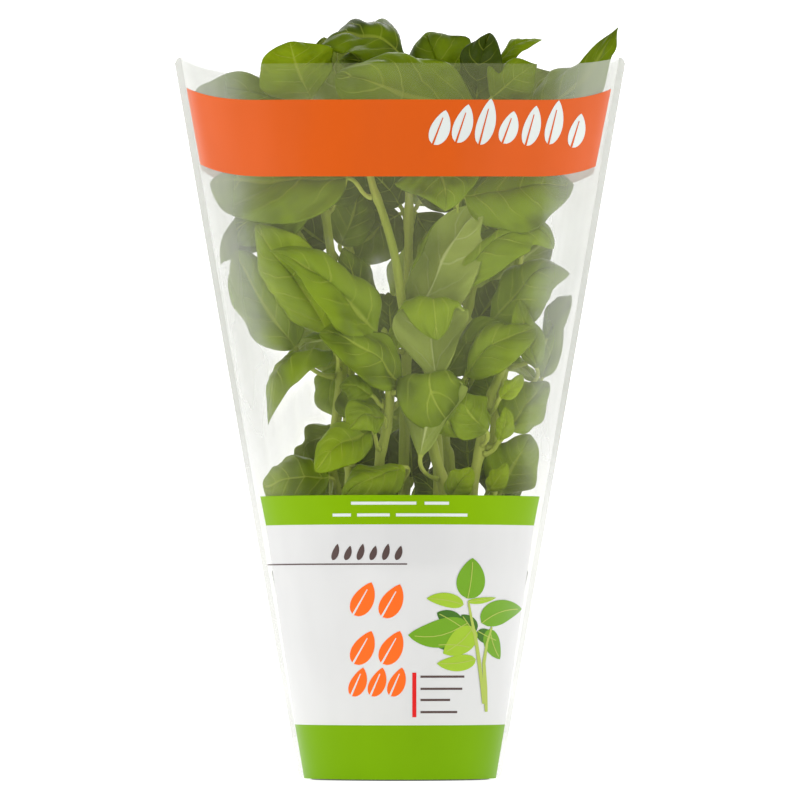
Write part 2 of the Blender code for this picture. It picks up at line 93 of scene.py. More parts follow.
# faces of a grid of points kept row by row
def gridFaces(rows, columns, start=0, flip=False):
    faces = []
    for r in range(rows - 1):
        for c in range(columns - 1):
            a = start + r * columns + c
            quad = (a, a + 1, a + columns + 1, a + columns)
            faces.append(quad[::-1] if flip else quad)
    return faces


# a material with plain values on its shader's own sockets
def newMaterial(name, **sockets):
    material = bpy.data.materials.new(name)
    material.use_nodes = True
    tree = material.node_tree
    shader = tree.nodes["Principled BSDF"]
    for key, value in sockets.items():
        shader.inputs[key].default_value = value
    return material, tree, shader


def addNode(tree, kind, inputs=None, **settings):
    node = tree.nodes.new(kind)
    for key, value in settings.items():
        setattr(node, key, value)
    for key, value in (inputs or {}).items():
        if isinstance(value, bpy.types.NodeSocket):
            tree.links.new(value, node.inputs[key])
        else:
            node.inputs[key].default_value = value
    return node


def mathNode(tree, operation, a, b=0.0, clamp=False):
    return addNode(tree, "ShaderNodeMath", {0: a, 1: b}, operation=operation, use_clamp=clamp).outputs[0]


def mixColours(tree, factor, a, b):
    return addNode(tree, "ShaderNodeMix", {0: factor, 6: a, 7: b}, data_type="RGBA").outputs[2]


def rangeNode(tree, value, fromLow, fromHigh, toLow=0.0, toHigh=1.0):
    return addNode(tree, "ShaderNodeMapRange", {0: value, 1: fromLow, 2: fromHigh, 3: toLow, 4: toHigh},
                   interpolation_type="SMOOTHSTEP").outputs[0]


def times(tree, a, b, clamp=False):
    return mathNode(tree, "MULTIPLY", a, b, clamp)


def noiseNode(tree, place, scale, detail):
    inputs = {"Vector": place, "Scale": scale, "Detail": detail}
    return addNode(tree, "ShaderNodeTexNoise", inputs).outputs["Fac"]


# colour and roughness into a shader
def feed(tree, shader, colour, rough):
    tree.links.new(colour, shader.inputs["Base Color"])
    tree.links.new(rough, shader.inputs["Roughness"])


def newGroup(name, inputs, outputs):
    group = bpy.data.node_groups.new(name, "ShaderNodeTree")
    for label, value in inputs:
        socket = group.interface.new_socket(label, in_out="INPUT", socket_type="NodeSocketFloat")
        socket.default_value = value
    for label, kind in outputs:
        group.interface.new_socket(label, in_out="OUTPUT", socket_type=kind)
    return group, group.nodes.new("NodeGroupInput"), group.nodes.new("NodeGroupOutput")


def placeGroup(tree, group, **values):
    node = addNode(tree, "ShaderNodeGroup", node_tree=group)
    for label, value in values.items():
        if isinstance(value, bpy.types.NodeSocket):
            tree.links.new(value, node.inputs[label])
        else:
            node.inputs[label].default_value = value
    return node


# leaf venation read from the blade's own map: across 0 to 1, along 0 to 1
def makeVeinGroup():
    group, given, out = newGroup("leafVenation", [
        ("veinPairs", 5.0), ("lean", 0.2), ("sweep", 0.16), ("veinWidth", 0.07), ("netScale", 420.0)],
        [("midrib", "NodeSocketFloat"), ("veins", "NodeSocketFloat"), ("net", "NodeSocketFloat"),
         ("mottle", "NodeSocketFloat")])
    uvMap = addNode(group, "ShaderNodeUVMap", uv_map="across").outputs[0]
    uv = addNode(group, "ShaderNodeSeparateXYZ", {0: uvMap})
    place = addNode(group, "ShaderNodeTexCoord").outputs["Object"]
    across = mathNode(group, "ABSOLUTE", mathNode(group, "SUBTRACT", times(group, uv.outputs[0], 2.0), 1.0))
    along = uv.outputs[1]
    wobble = noiseNode(group, place, 48.0, 2.0)
    midrib = rangeNode(group, across, 0.012, 0.05, 1.0, 0.0)
    leaned = times(group, across, given.outputs["lean"])
    swept = times(group, times(group, across, across), given.outputs["sweep"])
    level = mathNode(group, "SUBTRACT", mathNode(group, "SUBTRACT", along, leaned), swept)
    shifted = mathNode(group, "ADD", level, times(group, wobble, 0.22))
    turns = mathNode(group, "FRACT", times(group, shifted, given.outputs["veinPairs"]))
    offMiddle = mathNode(group, "ABSOLUTE", mathNode(group, "SUBTRACT", turns, 0.5))
    nearLine = mathNode(group, "SUBTRACT", 0.5, offMiddle)
    lineShare = mathNode(group, "DIVIDE", nearLine, given.outputs["veinWidth"])
    vein = rangeNode(group, lineShare, 0.2, 0.9, 1.0, 0.0)
    vein = times(group, vein, rangeNode(group, across, 0.4, 0.92, 1.0, 0.0))
    vein = times(group, vein, rangeNode(group, wobble, 0.4, 0.64, 1.0, 0.5))
    cells = addNode(group, "ShaderNodeTexVoronoi", {"Vector": place, "Scale": given.outputs["netScale"]},
                    feature="DISTANCE_TO_EDGE").outputs["Distance"]
    net = rangeNode(group, cells, 0.02, 0.16, 1.0, 0.0)
    mottle = noiseNode(group, place, 42.0, 3.0)
    for label, value in (("midrib", midrib), ("veins", vein), ("net", net), ("mottle", mottle)):
        group.links.new(value, out.inputs[label])
    return group


# fine unevenness for anything moulded, grown or printed
def makeGrainGroup():
    group, given, out = newGroup("fineGrain", [("coarse", 60.0), ("fine", 600.0), ("stretch", 1.0)],
                                 [("patches", "NodeSocketFloat"), ("grain", "NodeSocketFloat")])
    place = addNode(group, "ShaderNodeTexCoord").outputs["Object"]
    stretch = addNode(group, "ShaderNodeCombineXYZ", {0: 1.0, 1: 1.0, 2: given.outputs["stretch"]}).outputs[0]
    place = addNode(group, "ShaderNodeVectorMath", {0: place, 1: stretch}, operation="MULTIPLY").outputs[0]
    for label, scale in (("patches", "coarse"), ("grain", "fine")):
        group.links.new(noiseNode(group, place, given.outputs[scale], 3.0), out.inputs[label])
    return group


leafVenation = makeVeinGroup()
fineGrain = makeGrainGroup()


def bumpInto(tree, shader, height, distance, strength=1.0):
    bump = addNode(tree, "ShaderNodeBump", {"Height": height, "Distance": distance, "Strength": strength})
    tree.links.new(bump.outputs[0], shader.inputs["Normal"])


leafColours = {
    "darkGreen": tint(58, 76, 0), "midGreen": tint(120, 144, 2), "youngGreen": tint(146, 170, 0),
    "veinTop": tint(176, 190, 70), "underDark": tint(126, 144, 54), "underPale": tint(168, 184, 84),
    "veinUnder": tint(190, 200, 130)}


# one side of a blade; the per-leaf tone runs from old dark green to young yellow green, and its dark end also
# paints shade on leaves that stand in shadow
def makeLeafMaterial(name, under):
    colours = leafColours
    material, tree, shader = newMaterial(name, **{"IOR": 1.42, "Specular IOR Level": 0.16})
    veins = placeGroup(tree, leafVenation, netScale=640.0)
    # per-leaf tone; its dark end partly paints shade on leaves in shadow
    toneAndShade = addNode(tree, "ShaderNodeAttribute", attribute_name="toneAndShade").outputs["Fac"]
    toneAndShade = mathNode(tree, "ADD", toneAndShade, rangeNode(tree, veins.outputs["mottle"], 0.25, 0.75, -0.2, 0.2))
    if under:
        lamina = mixColours(tree, times(tree, toneAndShade, 1.0, True), colours["underDark"], colours["underPale"])
        veinColour = colours["veinUnder"]
        veinShare, netShare, ribShare = 0.6, 0.1, 0.8
    else:
        low = mixColours(tree, rangeNode(tree, toneAndShade, 0.0, 0.5), colours["darkGreen"], colours["midGreen"])
        lamina = mixColours(tree, rangeNode(tree, toneAndShade, 0.5, 1.0), low, colours["youngGreen"])
        veinColour = colours["veinTop"]
        veinShare, netShare, ribShare = 0.42, 0.02, 0.5
    for label, share in (("net", netShare), ("veins", veinShare), ("midrib", ribShare)):
        lamina = mixColours(tree, times(tree, veins.outputs[label], share), lamina, veinColour)
    smoothest, roughest = (0.6, 0.72) if under else (0.34, 0.48)
    feed(tree, shader, lamina, rangeNode(tree, veins.outputs["mottle"], 0.3, 0.7, smoothest, roughest))
    netHeight = times(tree, veins.outputs["net"], 0.1 if under else 0.0)
    lines = mathNode(tree, "ADD", veins.outputs["veins"], netHeight)
    bumpInto(tree, shader, times(tree, lines, 1.0 if under else -1.0), 0.0003, 0.7)
    return material


def makeStemMaterial():
    material, tree, shader = newMaterial("stemGreen", **{"IOR": 1.42, "Specular IOR Level": 0.25})
    grain = placeGroup(tree, fineGrain, coarse=70.0, fine=900.0, stretch=0.12)
    colour = mixColours(tree, rangeNode(tree, grain.outputs["patches"], 0.3, 0.7),
                        tint(146, 162, 52), tint(190, 200, 92))
    feed(tree, shader, colour, rangeNode(tree, grain.outputs["grain"], 0.3, 0.7, 0.42, 0.6))
    bumpInto(tree, shader, grain.outputs["grain"], 0.0003, 0.5)
    return material


leafTop = makeLeafMaterial("leafTop", False)
leafUnder = makeLeafMaterial("leafUnderside", True)
stemGreen = makeStemMaterial()
print("plant materials ready")


filmShape = {
    "height": sleeveTop.z, "topHalfWidth": sleeveTop.x, "topHalfDepth": 0.062, "lift": 0.0005,
    "thickness": 0.0006, "seam": 0.003, "rimClearance": 0.0018, "baseClearance": 0.0029,
    "topDip": 0.0067, "bandDip": 0.0098, "flatFrom": 0.141, "dipFull": 0.30, "bandTop": 0.346}
potShape = {
    "height": potTop.z, "rimRadius": potTop.x, "baseRadius": 0.045, "wall": 0.0014,
    "rimOverhang": 0.0018, "soilBelowRim": 0.012}
soilTop = potShape["height"] - potShape["soilBelowRim"]


# half width and half depth of the inside of the film at a height
def filmSection(height):
    base = potShape["baseRadius"] + filmShape["baseClearance"]
    rim = potShape["rimRadius"] + filmShape["rimClearance"]
    if height < potShape["height"]:
        radius = between(base, rim, height / potShape["height"])
        return radius, radius
    share = (height - potShape["height"]) / (filmShape["height"] - potShape["height"])
    width = filmShape["topHalfWidth"] - filmShape["seam"] - filmShape["thickness"]
    depth = filmShape["topHalfDepth"] - filmShape["thickness"]
    return between(rim, width, share), between(rim, depth, share)


# how far a line across the flat film sinks at the middle once the sleeve is opened out
def filmDip(level):
    rise = filmShape["bandDip"] * smooth(filmShape["flatFrom"], filmShape["dipFull"], level)
    share = (level - filmShape["bandTop"]) / (filmShape["height"] - filmShape["bandTop"])
    return between(rise, filmShape["topDip"], share)


# nearly flat across the front, rising towards the seams
def dipShare(angle):
    forward = abs(math.sin(angle))
    return 0.7 * smooth(0.0, 0.75, forward) + 0.3 * forward


# slack in the film: soft upright folds that fade out where it hugs the pot
def filmRipple(angle, level):
    free = smooth(potShape["height"] + 0.005, potShape["height"] + 0.08, level)
    edge = abs(math.sin(angle)) ** 0.7
    across, sheet = math.cos(angle), math.copysign(3.0, math.sin(angle))  # the two sheets ripple apart
    wave = noise.noise(Vector((across * 3.1, level * 6.0, 4.0 + sheet)))
    fine = noise.noise(Vector((across * 9.0, level * 11.0, 9.0 + sheet)))
    return free * edge * (0.0011 * wave + 0.0003 * fine)


# point on the film; level is the height before the sleeve was opened, offset stands outwards
def filmPoint(angle, level, offset=0.0):
    height = max(level, filmShape["lift"]) - filmDip(level) * dipShare(angle)
    width, depth = filmSection(height)
    out = filmShape["thickness"] / 2 + offset + filmRipple(angle, level)
    return Vector(((width + out) * math.cos(angle), (depth + out) * math.sin(angle), height))


# angle on the front sheet of a place x to the side, seen square on
def frontAngle(x, level):
    angle = 1.5 * math.pi
    for _ in range(4):
        height = level - filmDip(level) * dipShare(angle)
        width = filmSection(height)[0]
        angle = math.tau - math.acos(min(max(x / width, -1.0), 1.0))
    return angle


framePress = (0.965, 0.09)  # how the frame's leaves and stems are pressed


# press a point that would pass the film back inside it, as the sleeve does with the leaves
def keepInside(point, reachLimit=0.985, easing=0.07):
    width, depth = filmSection(point.z)
    over = max(0.0, point.z - filmShape["height"])
    width += over
    depth += over
    reach = math.hypot(point.x / width, point.y / depth)
    start = reachLimit - easing
    if reach <= start:
        return point
    pressed = start + easing * math.tanh((reach - start) / easing)
    return Vector((point.x * pressed / reach, point.y * pressed / reach, point.z))


stemShape = {
    "baseRadius": 0.0026, "tipRadius": 0.0014, "rootDepth": 0.012, "layoutRadius": 0.0588, "cadStep": 0.013,
    "step": 0.0016, "sides": 16, "ridge": 0.09, "nodeSwell": 0.2, "nodeReach": 0.0028, "tipRound": 0.002,
    "uneven": 0.03, "socketGap": 0.0006}
# each stem's line: x, y from the pot's axis and height above the soil, mm
stemTable = [
    [(-30, -12, 0), (-32, -16, 48), (-34, -18, 64), (-31, -15, 92), (-29, -12, 116), (-32, -12, 150),
     (-38, -10, 195), (-44, -6, 235), (-46, -2, 252)],
    [(-22, 6, 0), (-25, 8, 67), (-26, 8, 87), (-25, 5, 112), (-22, 2, 147), (-28, 3, 190), (-24, 6, 230),
     (-18, 8, 258)],
    [(14, -12, 0), (19, -14, 48), (18, -14, 82), (15, -16, 108), (6, -20, 127), (1.5, -24, 142),
     (-2.5, -26, 167), (-8, -26, 187), (-14, -25, 204), (-18, -22, 225), (-20, -20, 240)],
    [(4, 8, 0), (2, 6, 57), (3, 4, 107), (4, 2, 154), (4.5, 0, 190), (5, 0, 215), (8, 2, 250)],
    [(-10, -24, 0), (-10, -25, 50), (-10, -26, 67), (-7, -28, 80), (-5, -30, 100), (-8, -30, 132)],
    [(22, -24, 0), (22, -26, 48), (17, -27, 70), (13, -26, 95), (20, -20, 130), (26, -14, 170),
     (30, -10, 205), (34, -8, 236)],
    [(28, 4, 0), (25, 3, 62), (22, 2, 77), (25, 4, 107), (35, 8, 147), (42, 9, 187), (44, 8, 227),
     (44, 6, 252)],
    [(36, -20, 0), (36, -22, 48), (40, -24, 72), (45, -22, 97), (55, -16, 122), (62, -12, 150)],
    [(46, 2, 0), (46, 0, 47), (47, -2, 77), (51, 2, 107), (56, 3, 142), (62, 2, 185), (66, 0, 222)],
    [(-6, 30, 0), (-8, 34, 57), (-12, 36, 117), (-18, 34, 177), (-20, 30, 240)],
    [(30, 28, 0), (34, 32, 57), (38, 34, 117), (34, 34, 177), (28, 28, 245)],
]


# even points along a smooth curve through the knots
def smoothLine(knots, step):
    ends = [knots[0] * 2 - knots[1]] + knots + [knots[-1] * 2 - knots[-2]]
    dense = []
    for k in range(1, len(ends) - 2):
        for s in range(12):
            t = s / 12
            dense.append(0.5 * (2 * ends[k] + (ends[k + 1] - ends[k - 1]) * t
                                + (2 * ends[k - 1] - 5 * ends[k] + 4 * ends[k + 1] - ends[k + 2]) * t * t
                                + (3 * ends[k] - ends[k - 1] - 3 * ends[k + 1] + ends[k + 2]) * t ** 3))
    dense.append(knots[-1])
    lengths = [0.0]
    for a, b in zip(dense, dense[1:]):
        lengths.append(lengths[-1] + (b - a).length)
    count = max(2, round(lengths[-1] / step))
    line = []
    k = 0
    for index in range(count + 1):
        target = lengths[-1] * index / count
        while k < len(dense) - 2 and lengths[k + 1] < target:
            k += 1
        share = (target - lengths[k]) / max(lengths[k + 1] - lengths[k], 1e-9)
        line.append(dense[k].lerp(dense[k + 1], min(share, 1.0)))
    return line


# tangent and side at each point, turned as little as possible from point to point
def framesAlong(line, firstSide):
    frames = []
    side = firstSide
    previous = None
    for k in range(len(line)):
        tangent = (line[min(k + 1, len(line) - 1)] - line[max(k - 1, 0)]).normalized()
        if previous is not None:
            side = previous.rotation_difference(tangent) @ side
        side = (side - tangent * side.dot(tangent)).normalized()
        frames.append((tangent, side))
        previous = tangent
    return frames


# centre line of a stem from its foot in the soil to its tip, pressed inside as the frame presses it
def stemLine(knots, step):
    knots = [Vector(knot) * mm + Vector((0, 0, soilTop)) for knot in knots]
    top = potShape["rimRadius"] - potShape["rimOverhang"]
    wallRadius = potShape["baseRadius"] + (top - potShape["baseRadius"]) * soilTop / potShape["height"]
    spread = (wallRadius - potShape["wall"] - stemShape["socketGap"]) / stemShape["layoutRadius"]
    knots[0].x *= spread
    knots[0].y *= spread
    foot = knots[0] - Vector((0, 0, stemShape["rootDepth"]))
    return smoothLine([foot] + [keepInside(knot, *framePress) for knot in knots], step)


# radius of a stem at a point of its line, thinner towards the tip
def stemRadius(line, index):
    share = index / (len(line) - 1)
    return stemShape["baseRadius"] + (stemShape["tipRadius"] - stemShape["baseRadius"]) * share ** 2


# place and radius of a stem at a height
def stemPoint(line, height):
    height = min(max(height, soilTop + 3 * stemShape["baseRadius"]), line[-1].z - stemShape["tipRadius"])
    for k in range(len(line) - 1):
        if line[k + 1].z >= height:
            share = (height - line[k].z) / (line[k + 1].z - line[k].z)
            return line[k].lerp(line[k + 1], share), stemRadius(line, k)
    return line[-1], stemShape["tipRadius"]


cadStems = [stemLine(knots, stemShape["cadStep"]) for knots in stemTable]
stemNodes = [[] for _ in stemTable]  # heights where leaves leave each stem


# squarish, finely ribbed stem that swells where its leaves leave it
def makeStem(number):
    line = stemLine(stemTable[number], stemShape["step"])
    shape = stemShape
    points, faces = [], []
    for k, (point, (tangent, side)) in enumerate(zip(line, framesAlong(line, Vector((1, 0, 0))))):
        radius = stemRadius(line, k)
        swell = sum(math.exp(-((point.z - height) / shape["nodeReach"]) ** 2) for height in stemNodes[number])
        radius *= 1 + shape["nodeSwell"] * min(swell, 1.0)
        radius *= 1 + shape["uneven"] * noise.noise(point * 120)
        radius *= math.sqrt(1 - max(0.0, 1 - (line[-1] - point).length / shape["tipRound"]) ** 2)
        up = tangent.cross(side)
        for c in range(shape["sides"]):
            angle = math.tau * c / shape["sides"]
            reach = max(radius, 0.0001) * (1 + shape["ridge"] * math.cos(4 * angle))
            points.append(point + reach * (math.cos(angle) * side + math.sin(angle) * up))
    sides = shape["sides"]
    for k in range(len(line) - 1):
        for c in range(sides):
            n = (c + 1) % sides
            faces.append((k * sides + c, k * sides + n, (k + 1) * sides + n, (k + 1) * sides + c))
    faces.append(tuple(range(sides))[::-1])
    faces.append(tuple(range(len(points) - sides, len(points))))
    stem = meshPiece("stem_%02d_skin" % (number + 1), points, faces, [stemGreen])
    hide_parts("stem_%02d" % (number + 1))
    return stem


leafShape = {
    "petiole": 0.0010, "cadThickness": 0.0008, "thickness": 0.0005, "petioleHold": 0.4, "nodeDrop": 0.6,
    "petioleRows": 12, "bladeRows": 44, "veinPairs": 5.5, "lean": 0.2, "sweep": 0.16,
    "puff": 0.10, "wave": 0.12, "buckle": 0.3, "edgeCurl": 0.3, "edge": 0.0001, "serration": 0.012,
    "frameGap": 0.0003}
# places across each half of a blade, from midrib to margin
leafColumns = (0.0, 0.04, 0.1, 0.18, 0.28, 0.39, 0.5, 0.61, 0.71, 0.8, 0.88, 0.95, 1.0)
# places along petiole and blade where the frame's own leaf has a section
cadPetioleStations = (0.0, 0.3, 0.65)
cadBladeStations = (0.05, 0.18, 0.34, 0.5, 0.66, 0.83)
# stem, foot of the blade, tip, width, way its upper side faces, arch, curl of each half, tone, whose dark
# values partly paint shade
leafTable = [
    (1, (-44, -18, 246), (-55, -16, 275), 34, (0, -1, 0.2), 0.05, 0.3, 0.6),
    (4, (2, 0, 268), (-41, 6, 275), 36, (0, -0.6, 1), 0.26, 0.5, 0.2),
    (6, (38, -22, 240), (-31, -38, 258), 46, (0, -1, 0.35), 0.10, 0.4, 0.42),
    (7, (31, 8, 249), (12, 14, 282), 40, (0, -1, 0.4), 0.06, 0.3, 0.3),
    # leaf 5 is given tone 0.05: painted shade on a folded leaf that stands in shadow
    (6, (38, -6, 246), (44, -8, 280), 25, (-0.5, -1, 0), 0.05, 0.6, 0.05),
    (7, (49, 2, 264), (71, 6, 278), 14, (0, -0.6, 1), 0.14, 0.4, 0.5),
    (6, (46, -12, 247), (68, -16, 264), 26, (0, -1, 0.3), 0.06, 0.3, 0.35),
    (9, (66, -6, 237), (110, -2, 284), 26, (-0.3, -1, 0.5), -0.03, 0.4, 0.45),
    (1, (-50, 8, 240), (-104, 2, 252), 26, (0, -1, 0.6), 0.06, 0.4, 0.3),
    (3, (-26, -28, 206), (-98, -6, 206), 56, (0, -1, 0.5), 0.06, 0.3, 0.4),
    (1, (-45, -14, 196), (-91, -4, 178), 34, (0, -1, 0.6), 0.06, 0.4, 0.25),
    (1, (-52, -20, 122), (-82, -12, 172), 33, (0, -1, 0.2), 0.05, 0.3, 0.5),
    (1, (-36, -18, 130), (-74, -30, 180), 34, (-0.2, -1, 0.2), 0.06, 0.4, 0.75),
    (5, (-12, -34, 129), (-65, -48, 172), 31, (0.4, -1, 0.5), 0.14, 0.5, 0.45),
    (5, (0, -36, 104), (-37, -44, 130), 28, (0, -1, 0.6), 0.10, 0.4, 0.36),
    (1, (-34, -20, 120), (-67, -34, 84), 27, (-0.6, -0.5, 1), 0.30, 0.5, 0.35),
    (2, (-30, 4, 174), (-21, 2, 204), 24, (0, -1, 0), 0.05, 0.3, 0.2),
    (3, (9, -14, 132), (39, -22, 193), 32, (0.6, 0.8, 0.2), -0.10, -0.6, 0.45),
    (6, (32, -30, 197), (86, -22, 206), 44, (0, -1, 0.4), 0.06, 0.3, 0.35),
    (6, (14, -32, 219), (24, -42, 190), 38, (0, -1, 0.2), 0.08, 0.3, 0.35),
    (6, (30, -24, 152), (79, -30, 184), 30, (-0.3, -1, 0.5), 0.13, 0.5, 0.55),
    (9, (46, -10, 136), (80, -16, 168), 30, (-0.4, -1, 0.3), 0.12, 0.4, 0.45),
    (6, (18, -34, 105), (19, -50, 144), 34, (0, 1, 0.8), 0.26, 0.4, 0.5),
    (7, (33, -22, 108), (67, -30, 131), 27, (-0.2, -1, 0.6), 0.15, 0.4, 0.5),
    (7, (24, -14, 108), (50, -18, 136), 22, (-0.2, -1, 0.4), 0.08, 0.4, 0.4),
    (8, (68, -20, 112), (58, -28, 145), 15, (-0.7, -1, 0.3), 0.10, 0.4, 0.5),
    (9, (71, 2, 108), (82, 2, 146), 18, (0, -1, 0.2), 0.12, 0.4, 0.4),
    (6, (10, -40, 67), (7, -54, 102), 36, (0.3, 1, 0.7), 0.28, 0.5, 0.28),
    (8, (43, -34, 80), (28, -38, 100), 24, (0, -1, 0.4), 0.08, 0.4, 0.45),
    (8, (54, -24, 81), (74, -20, 106), 28, (0, -1, 0.2), 0.06, 0.3, 0.5),
    (9, (50, -18, 50), (66, -20, 78), 24, (0.2, -1, 0), 0.06, 0.3, 0.4),
    (5, (-15, -40, 80), (-42, -52, 62), 26, (0, -1, 0.8), 0.15, 0.4, 0.5),
    (5, (-8, -35, 87), (-25, -40, 82), 14, (0, -1, 0.5), 0.05, 0.3, 0.6),
    (1, (-35, -28, 57), (-72, -22, 52), 38, (0, -1, 0.5), 0.08, 0.3, 0.4),
    (5, (2, -42, 62), (-30, -50, 49), 24, (0, -1, 0.7), 0.10, 0.4, 0.6),
    (2, (-16, -12, 137), (-27, -18, 172), 20, (0, -1, 0.2), 0.06, 0.4, 0.2),
    (4, (0, 12, 190), (-26, 16, 168), 34, (0, -1, 0.5), 0.08, 0.4, 0.15),
    (4, (8, 6, 190), (24, 12, 164), 26, (0, -1, 0.5), 0.08, 0.4, 0.2),
    (10, (-20, 38, 120), (-58, 44, 140), 34, (0, 1, 0.4), 0.08, 0.4, 0.4),
    (10, (-4, 42, 150), (28, 52, 175), 34, (0, 1, 0.5), 0.10, 0.4, 0.5),
    (10, (-26, 36, 200), (-74, 36, 222), 38, (-0.2, 1, 0.5), 0.08, 0.4, 0.35),
    (11, (42, 38, 150), (78, 30, 178), 34, (0.3, 1, 0.4), 0.08, 0.4, 0.4),
    (11, (30, 40, 200), (-6, 52, 228), 36, (0, 1, 0.4), 0.10, 0.4, 0.45),
    (11, (40, 34, 230), (84, 22, 258), 36, (0.3, 1, 0.5), 0.08, 0.4, 0.35),
    (10, (-14, 36, 235), (-40, 34, 280), 34, (0, 1, 0.3), 0.08, 0.4, 0.3),
    (11, (24, 38, 95), (-6, 52, 70), 30, (0, 1, 0.3), 0.10, 0.4, 0.5),
]
# leaves that the frame leaves out: small ones, and those standing deep inside or behind; those inside that
# face forward get the darkest tones, painted shade
fillTable = [
    (1, (-60, 4, 184), (-95, 2, 166), 20, (0, -1, 0.4), 0.08, 0.4, 0.35),
    (9, (73, -4, 127), (87, 0, 149), 15, (-0.2, -1, 0.3), 0.2, 0.4, 0.45),
    (8, (50, -32, 97), (61, -34, 108), 10, (0, -1, 0.4), 0.1, 0.4, 0.8),
    (8, (49, -30, 76), (53, -34, 92), 10, (0, -1, 0.3), 0.1, 0.4, 0.8),
    (8, (44, -34, 51), (53, -40, 64), 12, (0, -1, 0.4), 0.1, 0.4, 0.7),
    (6, (25, -38, 46), (36, -42, 61), 15, (0, -1, 0.4), 0.1, 0.4, 0.6),
    (2, (-19, -24, 84), (-16, -24, 110), 24, (0, -1, 0.2), 0.06, 0.4, 0.3),
    (1, (-31, -6, 114), (-34, -8, 88), 20, (-0.5, -1, 0), 0.1, 0.4, 0.35),
    (4, (-4, -4, 127), (-6, -6, 150), 16, (0, -1, 0.3), 0.08, 0.4, 0.2),
    (3, (5, -30, 131), (-6, -36, 120), 13, (0, -1, 0.5), 0.1, 0.4, 0.7),
    (7, (31, -6, 197), (50, -5, 176), 22, (0, -1, 0.4), 0.1, 0.4, 0.25),
    (2, (-34, 16, 214), (-66, 22, 232), 34, (-0.3, -0.6, 1), 0.1, 0.4, 0.3),
    (10, (-26, 20, 160), (-62, 16, 150), 30, (-0.2, 0.2, 1), 0.12, 0.4, 0.3),
    (11, (46, 22, 118), (72, 14, 104), 26, (0.2, 0.3, 1), 0.12, 0.4, 0.3),
    (7, (52, 20, 206), (84, 18, 226), 30, (0.3, 0, 1), 0.1, 0.4, 0.35),
    (4, (12, 22, 228), (40, 34, 216), 32, (0.1, 0.4, 1), 0.14, 0.4, 0.35),
    (10, (-34, 26, 84), (-52, 22, 62), 26, (-0.5, 0.6, 0.6), 0.12, 0.4, 0.45),
    (11, (46, 34, 74), (58, 24, 50), 24, (0.5, 0.6, 0.5), 0.12, 0.4, 0.45),
    (10, (-16, 44, 66), (-40, 40, 44), 26, (-0.2, 1, 0.5), 0.12, 0.4, 0.5),
    (11, (28, 44, 60), (8, 50, 38), 24, (0, 1, 0.5), 0.12, 0.4, 0.55),
    (2, (-30, 18, 130), (-60, 26, 112), 28, (-0.4, 0.4, 1), 0.14, 0.4, 0.35),
    (4, (14, 10, 110), (30, 20, 128), 26, (0.2, 0.2, 1), 0.1, 0.4, 0.3),
    (4, (-8, 14, 96), (-18, 24, 116), 26, (-0.2, 0.4, 1), 0.1, 0.4, 0.3),
    (5, (-14, -24, 98), (-30, -24, 104), 16, (0, -1, 0.3), 0.1, 0.4, 0.4),
    (2, (-36, 10, 174), (-60, 14, 192), 26, (0, -1, 0.3), 0.08, 0.4, 0.1),
    (4, (0, 12, 194), (-20, 18, 214), 28, (0, -1, 0.3), 0.08, 0.4, 0.1),
    (4, (10, 10, 196), (30, 14, 212), 26, (0, -1, 0.3), 0.08, 0.4, 0.15),
    (7, (38, 14, 136), (52, 20, 158), 24, (0, -1, 0.3), 0.08, 0.4, 0.15),
    (4, (6, 14, 58), (3, 20, 86), 26, (0, -1, 0.2), 0.08, 0.4, 0.05),
    (2, (-22, 14, 60), (-20, 20, 90), 26, (0, -1, 0.2), 0.08, 0.4, 0.1),
    (4, (-4, 16, 46), (-10, 22, 74), 28, (0, -1, 0.2), 0.08, 0.4, 0.05),
    (7, (24, 16, 78), (22, 22, 110), 28, (0, -1, 0.2), 0.08, 0.4, 0.1),
    (11, (36, 24, 54), (34, 26, 86), 30, (0, -1, 0.2), 0.08, 0.4, 0.1),
    (10, (0, 34, 98), (10, 34, 126), 26, (0, -1, 0.2), 0.08, 0.4, 0.1),
    (10, (4, 38, 128), (-6, 38, 150), 24, (0, -1, 0.2), 0.08, 0.4, 0.1),
    (1, (-33, -6, 194), (-24, -4, 218), 20, (0, -1, 0.3), 0.08, 0.4, 0.1),
    (4, (2, 8, 258), (-30, 12, 270), 26, (0, -1, 0.3), 0.08, 0.4, 0.2),
    (11, (28, 34, 84), (24, 38, 112), 28, (0, -1, 0.2), 0.08, 0.4, 0.05),
    (11, (34, 34, 108), (44, 36, 132), 26, (0, -1, 0.2), 0.08, 0.4, 0.1),
    (9, (52, 10, 44), (48, 14, 70), 24, (0, -1, 0.2), 0.08, 0.4, 0.15),
    (7, (26, 2, 42), (8, 0, 60), 22, (0, -1, 0.2), 0.08, 0.4, 0.15),
    (9, (46, -2, 90), (40, 4, 112), 22, (0, -1, 0.2), 0.08, 0.4, 0.2),
    (7, (24, 12, 44), (20, 18, 66), 24, (0, -1, 0.2), 0.08, 0.4, 0.1),
    (4, (0, 16, 132), (-16, 22, 150), 28, (0, -1, 0.2), 0.08, 0.4, 0.1),
    (7, (30, 16, 150), (24, 22, 180), 30, (0, -1, 0.2), 0.08, 0.4, 0.1),
]
# moves in depth, mm, and sizes tried for a leaf that has no room as laid out
depthSteps = (0, -3, 3, -6, 6, -9, 9, -12, 12, -16, 16, -20, 20)
sizeSteps = (1.0, 0.88, 0.76, 0.64, 0.52)


# width of a blade along its length, as a share of its widest place
def bladeShare(t, basePower=0.62, tipPower=0.85, widest=0.42):
    return (t / widest) ** basePower * ((1 - t) / (1 - widest)) ** tipPower


